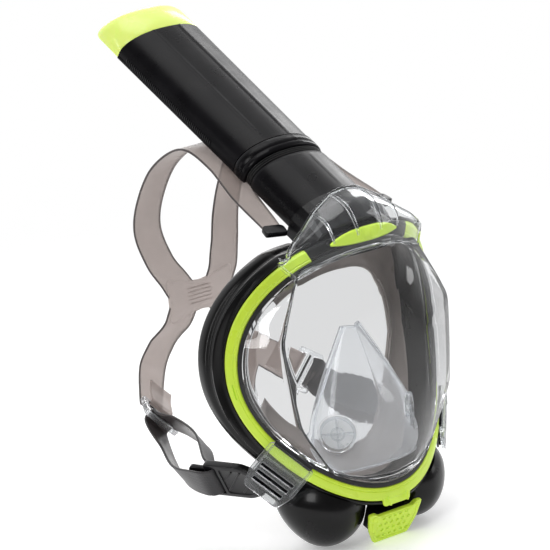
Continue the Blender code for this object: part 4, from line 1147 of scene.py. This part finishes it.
def snorkel_shells():
    place = snorkel_frame()
    collar_low = BASE_LENGTH + FLEX_LENGTH
    collar_high = collar_low + COLLAR_LENGTH
    levels = [(collar_low + 0.0001, -0.0004, 0, 0), (collar_low + 0.0008, 0.0006, 0, 0),
              (collar_low + 0.0040, 0.0009, 0, 0.0001), (collar_low + 0.0046, 0.0003, 0, 0.0001),
              (collar_low + 0.0054, 0.0003, 0, 0.0002), (collar_low + 0.0060, 0.0009, 0, 0.0002),
              (collar_high - 0.0010, 0.0007, 0, 0.0003), (collar_high - 0.0002, -0.0001, 0, 0.0002)]
    collar = placed(d_sleeve("collar", levels, -TUBE_WALL), place)
    piece("collar", collar, TUBE_BLACK, "snorkel_tube", ["snorkel_collar"], 50)
    low = collar_high + 0.0004
    spans = 24
    sections = []
    for i in range(spans + 1):
        share = i / spans
        ridge = 0.0007 * min(1.0, 5 * share + 0.4)
        sections.append(front_shell_section(low + (TUBE_TOP - low) * share, TUBE_TOP_SLOPE * share, ridge))
    mesh = placed(loft("front_shell", sections), place)
    piece("tube_front", mesh, TUBE_BLACK, "snorkel_tube", ["snorkel_front_shell"], 60)
    back_shell(low, place)
    paint(BLACK, "duct_divider_l", "duct_divider_r", "float_cage")
    paint(FLAP, "float", "exhaust_flap_l", "exhaust_flap_r")
    paint(RUBBER, "float_seal")


def back_shell(low, place):
    """The tray behind, with a fine comb of ribs along each side."""
    sections = []
    for i in range(13):
        share = i / 12
        z = low + (TUBE_TOP - low) * share
        half = tube_half(z, 0.0)
        outline = [(-half, -TUBE_SPLIT), (-half, 0.0), (half, 0.0), (half, -TUBE_SPLIT),
                   (half - TUBE_WALL, -TUBE_SPLIT), (half - TUBE_WALL, -TUBE_WALL),
                   (-half + TUBE_WALL, -TUBE_WALL), (-half + TUBE_WALL, -TUBE_SPLIT)]
        ring = rounded(outline, 0.0007, 3)
        sections.append([Vector((p.x, p.y, z + TUBE_TOP_SLOPE * share * p.y)) for p in ring])
    mesh = placed(loft("back_shell", sections), place)
    piece("tube_back", mesh, TUBE_BLACK, "snorkel_tube", ["snorkel_back_shell"], 40)
    ribs = []
    count = 52
    for side in (-1, 1):
        for i in range(count):
            z = low + 0.030 + (TUBE_TOP - 0.012 - low - 0.030) * i / (count - 1)
            outline = rounded(rectangle(0.0042, 0.0013), 0.0005, 2)
            rib = block("rib", outline, -0.0004, 0.0005, 0.0002, 2)
            turn = Matrix.Rotation(math.radians(90) * side, 4, "Y") @ Matrix.Rotation(math.radians(90), 4,
                                                                                      "Z")
            ribs.append(placed(rib, place @ Matrix.Translation((side * tube_half(z, 0.0), -0.0052,
                                                                z)) @ turn))
    piece("tube_ribs", joined("tube_ribs", ribs), TUBE_BLACK, "snorkel_tube")


def cap_section(z, grow, share, lift):
    middle = -(TUBE_SIDE + TUBE_BULGE) / 2
    section = []
    for x, y in d_outline(z, grow):
        place_y = middle + (y - middle) * share
        section.append(Vector((x * share, place_y, CAP_BACK_Z + CAP_END_SLOPE * place_y + lift)))
    return section


def snorkel_cap():
    place = snorkel_frame()
    low = TUBE_TOP + 0.0004
    outside = [d_section(low, -0.0004, TUBE_TOP_SLOPE), d_section(low + 0.0006, 0.0, TUBE_TOP_SLOPE)]
    for k in range(9):
        turn = math.radians(90) * k / 8
        outside.append(cap_section(TUBE_TOP, 0.0, 0.82 + 0.18 * math.cos(turn),
                                   CAP_DOME * 0.75 * math.sin(turn)))
    outside += [cap_section(TUBE_TOP, 0.0, share, CAP_DOME * lift) for share, lift in
                ((0.60, 0.90), (0.35, 0.98), (0.10, 1.0))]
    inside = [cap_section(TUBE_TOP, -0.0018, 0.10, CAP_DOME - 0.0018),
              cap_section(TUBE_TOP, -0.0018, 0.60, CAP_DOME * 0.85 - 0.0018),
              cap_section(TUBE_TOP, -0.0018, 0.92, 0.0),
              d_section(low, -0.0018, TUBE_TOP_SLOPE)]
    shell = loft("cap", inside + outside)
    slots = []
    for side in (-1, 1):
        outline = rounded(rectangle(0.018, 0.0046), 0.0016, 4)
        slot = block("inlet", outline, -0.006, 0.006, 0.0003)
        slots.append(placed(slot, Matrix.Translation((side * 0.017, 0.0, TUBE_TOP + 0.010)) @ UPRIGHT))
    shell = cut(shell, slots)
    piece("cap", placed(shell, place), CAP_LIME, "snorkel_tube", ["snorkel_cap"], 45)


# ---- Harness ---------------------------------------------------------------------------------


def slider_frame():
    return frame_of(SLIDER_CENTRE, Vector((-0.42, -0.84, -0.36)), Vector((0.70, -0.04, -0.71)))


def anchor_frame():
    return frame_of(ANCHOR_CENTRE, Vector((0.0105, 0.0410, 0.0195)), ALONG_X)


def buckle_frame():
    return frame_of(BUCKLE_NOSE, BUCKLE_TAIL - BUCKLE_NOSE, Vector((0.448, 0.126, -0.888)))


def lug_frame():
    """On the rim: X along the rim, Y outwards and back, Z into the skirt."""
    step = 0.02
    across = rim_point(LUG_ANGLE + step) - rim_point(LUG_ANGLE - step)
    along = 0.744 * rim_normal(LUG_ANGLE) + Vector((0.0, 0.668, 0.0))
    along = along - along.dot(across.normalized()) * across.normalized()
    return frame_of(rim_point(LUG_ANGLE), along, across)


def in_frame(place, v, w):
    return place @ Vector((0.0, v, w))


def upper_arm():
    across = ALONG_X
    anchor = anchor_frame()
    points = [
        Vector((-0.0150, 0.1336, 0.0265)),
        Vector((-0.0230, 0.1338, 0.0400)),
        Vector((-0.0310, 0.1385, 0.0570)),
        Vector((-0.037, 0.1405, 0.082)),
        Vector((-0.038, 0.1300, 0.108)),
        Vector((-0.036, 0.1080, 0.136)),
        Vector((-0.0325, 0.0740, 0.1525)),
        Vector((-0.0335, 0.0400, 0.1425)),
        Vector((-0.043, 0.0050, 0.1240)),
        in_frame(anchor, 0.012, 0.0),
        in_frame(anchor, -0.0008, 0.0),
    ]
    return [(point, across) for point in points]


def lower_arm():
    place = slider_frame()
    across = place.to_3x3() @ ALONG_X
    side = ALONG_X
    return [
        (Vector((-0.0150, 0.1335, 0.0215)), side),
        (Vector((-0.0240, 0.1345, 0.0060)), Vector((1.0, 0.0, -0.05))),
        (Vector((-0.0350, 0.1435, -0.0100)), Vector((0.97, 0.03, -0.18))),
        (Vector((-0.0455, 0.1440, -0.0270)), Vector((0.88, 0.05, -0.38))),
        (in_frame(place, -0.017, 0.0045), across),
        (in_frame(place, -0.0095, 0.0044), across),
        (in_frame(place, -0.0054, 0.0012), across),
        (in_frame(place, -0.0051, -0.0032), across),
    ]


def strap_tail():
    """The free end that turns back out of the slider."""
    place = slider_frame()
    across = place.to_3x3() @ ALONG_X
    return [
        (in_frame(place, -0.0051, -0.0030), across),
        (in_frame(place, -0.0068, -0.0046), across),
        (in_frame(place, -0.0120, -0.0052), across),
        (in_frame(place, -0.0200, -0.0062), across),
        (in_frame(place, -0.0270, -0.0085), across),
    ]


def loop_stations():
    slider, buckle = slider_frame(), buckle_frame()
    su = slider.to_3x3() @ ALONG_X
    bu = buckle.to_3x3() @ ALONG_X
    middle = (su + bu) / 2
    return [
        (in_frame(slider, 0.0049, 0.0), su),
        (in_frame(slider, 0.0060, 0.0040), su),
        (in_frame(slider, 0.0120, 0.0058), su),
        (Vector((-0.084, 0.078, -0.072)), middle),
        (Vector((-0.095, 0.048, -0.080)), middle),
        (in_frame(buckle, 0.0490, -0.0066), bu),
        (in_frame(buckle, 0.0385, -0.0052), bu),
        (in_frame(buckle, 0.0357, 0.0), bu),
        (in_frame(buckle, 0.0385, 0.0052), bu),
        (in_frame(buckle, 0.0490, 0.0070), bu),
        (Vector((-0.0735, 0.046, -0.060)), middle),
        (Vector((-0.067, 0.078, -0.056)), middle),
        (in_frame(slider, 0.0120, -0.0058), su),
        (in_frame(slider, 0.0060, -0.0040), su),
    ]


def strap_profile(width):
    """The outline across a strap, with a thick round edge along each side."""
    half = width / 2
    points = []
    for sign in (1, -1):
        for k in range(7):
            turn = math.radians(-90 * sign + 30 * k)
            u = sign * (half - STRAP_BEAD) + STRAP_BEAD * math.cos(turn)
            points.append((u, STRAP_BEAD * math.sin(turn)))
        edge = half - 2.4 * STRAP_BEAD
        high = sign * STRAP_THICKNESS / 2
        points += [(sign * edge, high), (0.0, high + sign * 0.00005), (-sign * edge, high)]
    return points


def strap_mesh(name, stations, width, samples=10, closed=False, narrow=0.0):
    """A strap through its stations; narrow is the share of the width lost on its outer side by the end."""
    path = curve_through([point for point, _ in stations], samples, closed)
    widths = curve_through([across.normalized() for _, across in stations], samples, closed)
    profile = strap_profile(width)
    sections = []
    for i, (centre, along) in enumerate(zip(path, directions(path, closed))):
        across = (widths[i] - widths[i].dot(along) * along).normalized()
        normal = along.cross(across).normalized()
        late = min(1.0, max(0.0, (i / len(path) - 0.66) / 0.30))
        loss = narrow * late * late * (3.0 - 2.0 * late)
        sections.append([centre + (u * (1.0 - loss) + 0.5 * loss * width) * across + v * normal
                         for u, v in profile])
    return loft(name, sections, closed), len(profile)


def strap_band(name, stations, side, width=STRAP_WIDTH, narrow=0.0):
    """One strap on its side of the head, its thick edges marked with the second material."""
    mesh, around = strap_mesh(name, stations, width, narrow=narrow)
    for index, face in enumerate(mesh.polygons):
        face.material_index = 1 if len(face.vertices) == 4 and index % around in STRAP_BEAD_FACES else 0
    return mirrored(mesh, side)


def hub_outline():
    """The web where the four arms meet: wide at each side, waisted in the middle."""
    corner = [(0.0300, 0.0045), (0.0305, 0.0175), (0.0140, 0.0135), (0.0, 0.0115)]
    right_top = corner
    left_top = [(-x, y) for x, y in reversed(corner[:-1])]
    top = right_top + left_top
    low = [(x, -y) for x, y in reversed(top)]
    return rounded([(x, y) for x, y in top + low], 0.0030, 5)


def head_harness():
    """Four arms moulded in one with the web at the back of the head, and the free ends at the sliders."""
    stand = Matrix.Translation(HUB_CENTRE) @ UPRIGHT
    hub = placed(block("hub", hub_outline(), -0.0011, 0.0011, 0.0006, 3), stand)
    arms = []
    for side in (-1, 1):
        arms.append(strap_band("upper_strap", upper_arm(), side, narrow=0.42))
        arms.append(strap_band("lower_strap", lower_arm(), side))
    for mesh in [hub] + arms:
        mesh.materials.append(STRAP)
        mesh.materials.append(STRAP_EDGE)
    harness = cut(hub, arms, "UNION")
    marks = [face.material_index for face in harness.polygons]
    item = piece("harness", harness, STRAP, "mask", ["head_harness"], 50)
    item.data.materials.clear()
    item.data.materials.append(STRAP)
    item.data.materials.append(STRAP_EDGE)
    for face, mark in zip(item.data.polygons, marks):
        face.material_index = mark
    ribs = []
    for row in range(5):
        height = (row - 2) * 0.0030
        rib = [stand @ Vector((x, height, -0.0011)) for x in (-0.011, 0.0, 0.011)]
        ribs.append(tube("hub_rib", rib, 0.0004, 6, up=ALONG_Y))
    piece("strap_hub_ribs", joined("hub_ribs", ribs), STRAP, "mask")
    for side in (-1, 1):
        tail = strap_band("strap_tail", strap_tail(), side, STRAP_WIDTH - 0.002)
        piece(side_name("strap_tail", side), tail, STRAP, "mask", sharp=50)


def strap_loops():
    """The adjustable loops: black grip face outside, grey inside, turning round the slider's and the buckle's
    bars.
    """
    for side in (-1, 1):
        name = side_name("strap_loop", side)
        mesh, _ = strap_mesh(name + "_band", loop_stations(), STRAP_WIDTH - 0.001, 8, True)
        centre = sum((v.co for v in mesh.vertices), Vector()) / len(mesh.vertices)
        mesh.materials.append(STRAP_BLACK)
        mesh.materials.append(STRAP_EDGE)
        for face in mesh.polygons:
            outward = face.normal.dot(face.center - centre)
            face.material_index = 0 if outward > 0.0 else 1
        item = add_object(name + "_band", mirrored(mesh, side))
        mesh.shade_smooth()
        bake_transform(item)
        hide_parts(name)


def strap_sliders():
    for side in (-1, 1):
        outline = rounded(rectangle(0.034, 0.022), 0.0035, 6)
        plate = block("slider", outline, -0.0018, 0.0018, 0.0007, 3)
        slots = []
        for v in (-0.0051, 0.0051):
            slot = block("slot", rounded(rectangle(STRAP_WIDTH + 0.002, 0.0050, (0.0, v)), 0.0012), -0.01,
                         0.01, 0.0001)
            slots.append(slot)
        plate = placed(cut(plate, slots), on_side(slider_frame(), side))
        name = side_name("strap_slider", side)
        piece(name + "_frame", plate, CLIP_CLEAR, "mask", [name])
        bar = [in_frame(slider_frame(), 0.0, -0.0018) + u * (slider_frame().to_3x3() @ ALONG_X)
               for u in (-0.0125, 0.0, 0.0125)]
        grip = mirrored(tube("slider_bar", bar, 0.0009, 8), side)
        piece(name + "_bar", grip, BLACK, "mask")


def strap_lugs():
    """Clear ladder plates that cross the ring, over black pads with ribs."""
    place = lug_frame() @ Matrix.Translation((0.0, 0.0, -0.0046))
    for side in (-1, 1):
        shape = [(-0.019, -0.0065), (0.019, -0.0065), (0.0190, 0.0200), (0.0150, 0.0335), (-0.0150, 0.0335),
                 (-0.0190, 0.0200)]
        plate = block("lug", rounded(shape, 0.0035, 6), -0.0014, 0.0014, 0.0006, 3)
        slots = []
        for v in (0.0125, 0.0185, 0.0245):
            slot = block("slot", rounded(rectangle(0.0290 - 0.25 * (v - 0.0125), 0.0036, (0.0, v)), 0.0012),
                         -0.01, 0.01, 0.0001)
            slots.append(slot)
        name = side_name("strap_lug", side)
        mesh = placed(cut(plate, slots), on_side(place, side))
        piece(name + "_plate", mesh, CLIP_CLEAR, "mask", [name])
        rails = []
        for u in (-0.0163, 0.0163):
            path = [place @ Vector((u, v, -0.0016)) for v in (-0.0050, 0.0080, 0.0190)]
            rails.append(tube("rail", path, 0.0008, 8))
        rails.append(tube("rail", [place @ Vector((u, 0.0055, -0.0016)) for u in (-0.016, 0.0, 0.016)],
                          0.0008, 8))
        mesh = mirrored(joined("rails", rails), side)
        piece(name + "_rails", mesh, CLIP_CLEAR, "mask")
        bars = []
        for v in (0.0095, 0.0155, 0.0215, 0.0275):
            bar = block("bar", rounded(rectangle(0.0270, 0.0026), 0.0010, 3), -0.0011, 0.0007, 0.0004)
            bars.append(placed(bar, place @ Matrix.Translation((0.0, v, 0.0031))))
        pad = block("pad", rounded([(-0.0160, 0.0060), (0.0160, 0.0060), (0.0155, 0.0300), (-0.0155, 0.0300)],
                                   0.0030, 4), 0.0, 0.0016, 0.0004)
        bars.append(placed(pad, place @ Matrix.Translation((0.0, 0.0, 0.0034))))
        inner = block("inner_pad", rounded(rectangle(0.0330, 0.0042, (0.0, -0.0068)), 0.0014, 4), -0.0010,
                      0.0010,
                      0.0004)
        bars.append(placed(inner, place @ Matrix.Translation((0.0, 0.0, 0.0010))))
        mesh = mirrored(joined("bars", bars), side)
        piece(name + "_pad_ribs", mesh, BLACK, "mask")


def buckles():
    """Black side buckles: a tapered frame with a recessed face, fold ridges and a strap slot."""
    for side in (-1, 1):
        shape = [(-0.0110, 0.0003), (0.0110, 0.0003), (0.0155, 0.0120), (0.0155, 0.0440), (-0.0155, 0.0440),
                 (-0.0155, 0.0120)]
        body = block("buckle", rounded(shape, 0.0028, 5), -0.0030, 0.0030, 0.0010, 3)
        slot = block("slot", rounded(rectangle(STRAP_WIDTH + 0.0008, 0.0046, (0.0, 0.0357)), 0.0010),
                     -0.01, 0.01,
                     0.0001)
        recess = block("recess", rounded([(-0.0085, 0.0050), (0.0085, 0.0050), (0.0120, 0.0130), (0.0120,
                                                                                                  0.0310),
                                          (-0.0120, 0.0310), (-0.0120, 0.0130)], 0.0020, 4),
                       -0.0042, -0.0021, 0.0003)
        body = cut(body, [slot, recess])
        ridges = []
        for start, end in (((-0.0100, 0.0130), (0.0095, 0.0300)), ((-0.0100, 0.0205), (0.0000, 0.0300)),
                           ((0.0000, 0.0080), (0.0105, 0.0180))):
            path = [Vector((start[0], start[1], -0.0022)), Vector((end[0], end[1], -0.0022))]
            path.insert(1, path[0].lerp(path[1], 0.5))
            ridges.append(tube("ridge", path, 0.0007, 8))
        rail = tube("nose_rail", [Vector((u, 0.0022, -0.0026)) for u in (-0.0095, 0.0, 0.0095)], 0.0011, 10)
        mesh = placed(joined("buckle", [body, rail] + ridges), on_side(buckle_frame(), side))
        name = side_name("buckle_body", side)
        piece(name + "_frame", mesh, BLACK, side_name("buckle", side), [name])
        release_tab(side)


def release_tab(side):
    """The raised tab behind the buckle, with grip ribs."""
    low = BUCKLE_BODY + 0.0005
    shape = [(-0.0105, low), (0.0105, low), (0.0112, low + 0.0120), (0.0080, low + 0.0145),
             (-0.0080, low + 0.0145), (-0.0112, low + 0.0120)]
    tab = block("tab", rounded(shape, 0.0018, 4), -0.0017, 0.0017, 0.0006, 3)
    ribs = []
    for i in range(4):
        v = low + 0.0045 + 0.0022 * i
        rib = block("rib", rounded(rectangle(0.0150, 0.0010, (0.0, v)), 0.0004, 2), -0.0021, -0.0014, 0.0003)
        ribs.append(rib)
    mesh = placed(joined("tab", [tab] + ribs), on_side(buckle_frame(), side))
    name = side_name("release_tab", side)
    piece(name + "_lever", mesh, BLACK, name, [name])


def top_anchors():
    for side in (-1, 1):
        shape = rounded([(-0.0030, -0.0050), (0.0142, -0.0050), (0.0142, 0.0030), (0.0120, 0.0050),
                         (-0.0010, 0.0050), (-0.0030, 0.0030)], 0.0018, 4)
        body = block("anchor", shape, -0.0020, 0.0020, 0.0009, 3)
        mouth = block("mouth", rectangle(0.0136, 0.0022, (0.0060, 0.0)), -0.0110, 0.0, 0.0)
        body = cut(body, [placed(mouth, Matrix.Translation((0.0, -0.0020, 0.0)) @ UPRIGHT)])
        name = side_name("top_strap_anchor", side)
        piece(name + "_clip", placed(body, on_side(anchor_frame(), side)), BLACK, "mask", [name])


# ---- Studio ----------------------------------------------------------------------------------


def floor():
    """Pale paper that fades out into the white background and isn't seen through clear parts."""
    wiring = Wiring(bpy.data.materials.new("floor_paper"))
    paper = wiring.principled(
        base_color=wiring.two_colours(wiring.noise(6.0, 2.0), (0.90, 0.90, 0.90), (0.92, 0.92, 0.92)),
        roughness=0.9,
        gloss=0.1,
        emission_color=(1.0, 1.0, 1.0, 1.0),
        emission_strength=FLOOR_GLOW,
    )
    reach = wiring.add("VectorMath", "Value", {0: wiring.add("TexCoord", "Object")}, operation="LENGTH")
    fade = wiring.span(reach, 0.0, 1.0, 0.25, 1.1, "SMOOTHSTEP")
    gone = wiring.add("BsdfTransparent", "BSDF")
    faded = wiring.mixed(fade, paper, gone)
    wiring.finish(wiring.mixed(wiring.add("LightPath", "Is Transmission Ray"), faded, gone))
    bm = bmesh.new()
    bmesh.ops.create_circle(bm, cap_ends=True, segments=96, radius=1.3,
                            matrix=Matrix.Translation((0.0, 0.0, FLOOR_Z)))
    mesh = to_mesh("floor", bm)
    mesh.materials.append(wiring.owner)
    add_object("floor", mesh)


def softbox(name, place, aim, size, power):
    light = bpy.data.lights.new(name, "AREA")
    light.shape = "RECTANGLE"
    light.size, light.size_y = size
    light.energy = power
    item = add_object(name, light)
    item.location = place
    item.rotation_mode = "QUATERNION"
    item.rotation_quaternion = (Vector(aim) - Vector(place)).to_track_quat("-Z", "Y")


def world():
    """White to the camera; to the object, a tent that is white behind it and dim in front."""
    bpy.context.scene.world = bpy.data.worlds.new("tent")
    wiring = Wiring(bpy.context.scene.world, "OutputWorld")
    direction = wiring.add("TexCoord", "Generated")
    height = wiring.add("SeparateXYZ", "Z", {"Vector": direction})
    tone = wiring.add("ValToRGB", "Color", {"Fac": wiring.span(height, 0.0, 1.0, -1.0, 1.0)})
    ramp = tone.node.color_ramp
    stops = ((0.0, 0.70), (0.46, 0.80), (0.56, 0.90), (0.75, 1.0), (1.0, 1.0))
    for position, _ in stops[1:-1]:
        ramp.elements.new(position)
    for element, (position, level) in zip(ramp.elements, stops):
        element.position = position
        element.color = (level, level, level * 1.01, 1.0)
    behind = wiring.add("VectorMath", "Value", {0: direction, 1: BACKDROP}, operation="DOT_PRODUCT")
    strength = wiring.span(behind, TENT_FRONT, TENT_BACK, -0.1, 0.6, "SMOOTHSTEP")
    seen = wiring.add("Background", "Background", {"Color": tone, "Strength": strength})
    for ray, level in (("Is Transmission Ray", SEEN_THROUGH_LEVEL), ("Is Camera Ray", 1.0)):
        white = wiring.add("Background", "Background", {"Color": (level, level, level, 1.0)})
        seen = wiring.mixed(wiring.add("LightPath", ray), seen, white)
    wiring.finish(seen)


def camera():
    """From the front and the wearer's right, a little above, with a long lens rolled a little."""
    a, e, r = CAMERA_AZIMUTH, CAMERA_ELEVATION, CAMERA_ROLL
    back = Vector((math.sin(a) * math.cos(e), -math.cos(a) * math.cos(e), math.sin(e)))
    level = Vector((math.cos(a), math.sin(a), 0.0))
    rise = back.cross(level)
    right = math.cos(r) * level - math.sin(r) * rise
    up = math.sin(r) * level + math.cos(r) * rise
    aim = CAMERA_TARGET - CAMERA_ASIDE * right + CAMERA_RISE * up
    data = bpy.data.cameras.new("camera")
    data.lens = CAMERA_LENS
    data.sensor_width = 36.0
    data.clip_start = 0.05
    data.clip_end = 60.0
    item = add_object("camera", data)
    item.matrix_world = Matrix.Translation(aim + CAMERA_DISTANCE * back) @ Matrix(
        (right, up, back)).transposed().to_4x4()
    bpy.context.scene.camera = item


def studio():
    floor()
    world()
    middle = (0.0, 0.0, 0.02)
    softbox("key_left", (-1.5, -0.9, 1.3), middle, (0.7, 1.0), 13.0)
    softbox("top", (0.1, 0.1, 1.9), middle, (1.2, 1.2), 10.0)
    softbox("fill_right", (1.7, -1.0, 0.7), middle, (0.6, 1.2), 6.0)
    softbox("strip_left", (-1.9, 0.6, 0.4), middle, (0.12, 1.6), 5.0)
    softbox("back_rim", (0.6, 1.8, 0.9), middle, (1.2, 0.7), 9.0)
    softbox("side_rim", (1.9, 0.9, 0.9), middle, (0.5, 1.6), 16.0)
    bpy.context.scene.view_settings.view_transform = "Standard"


def build():
    frame_ring()
    lens_gasket()
    visor()
    crown()
    top_badge()
    outer_skirt()
    chin_lobes()
    face_seal()
    orinasal_pocket()
    inhale_valves()
    purge_cover()
    snorkel_lower()
    flexible_joint()
    snorkel_shells()
    snorkel_cap()
    head_harness()
    strap_loops()
    strap_sliders()
    strap_lugs()
    buckles()
    top_anchors()


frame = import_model()
build()
studio()
camera()
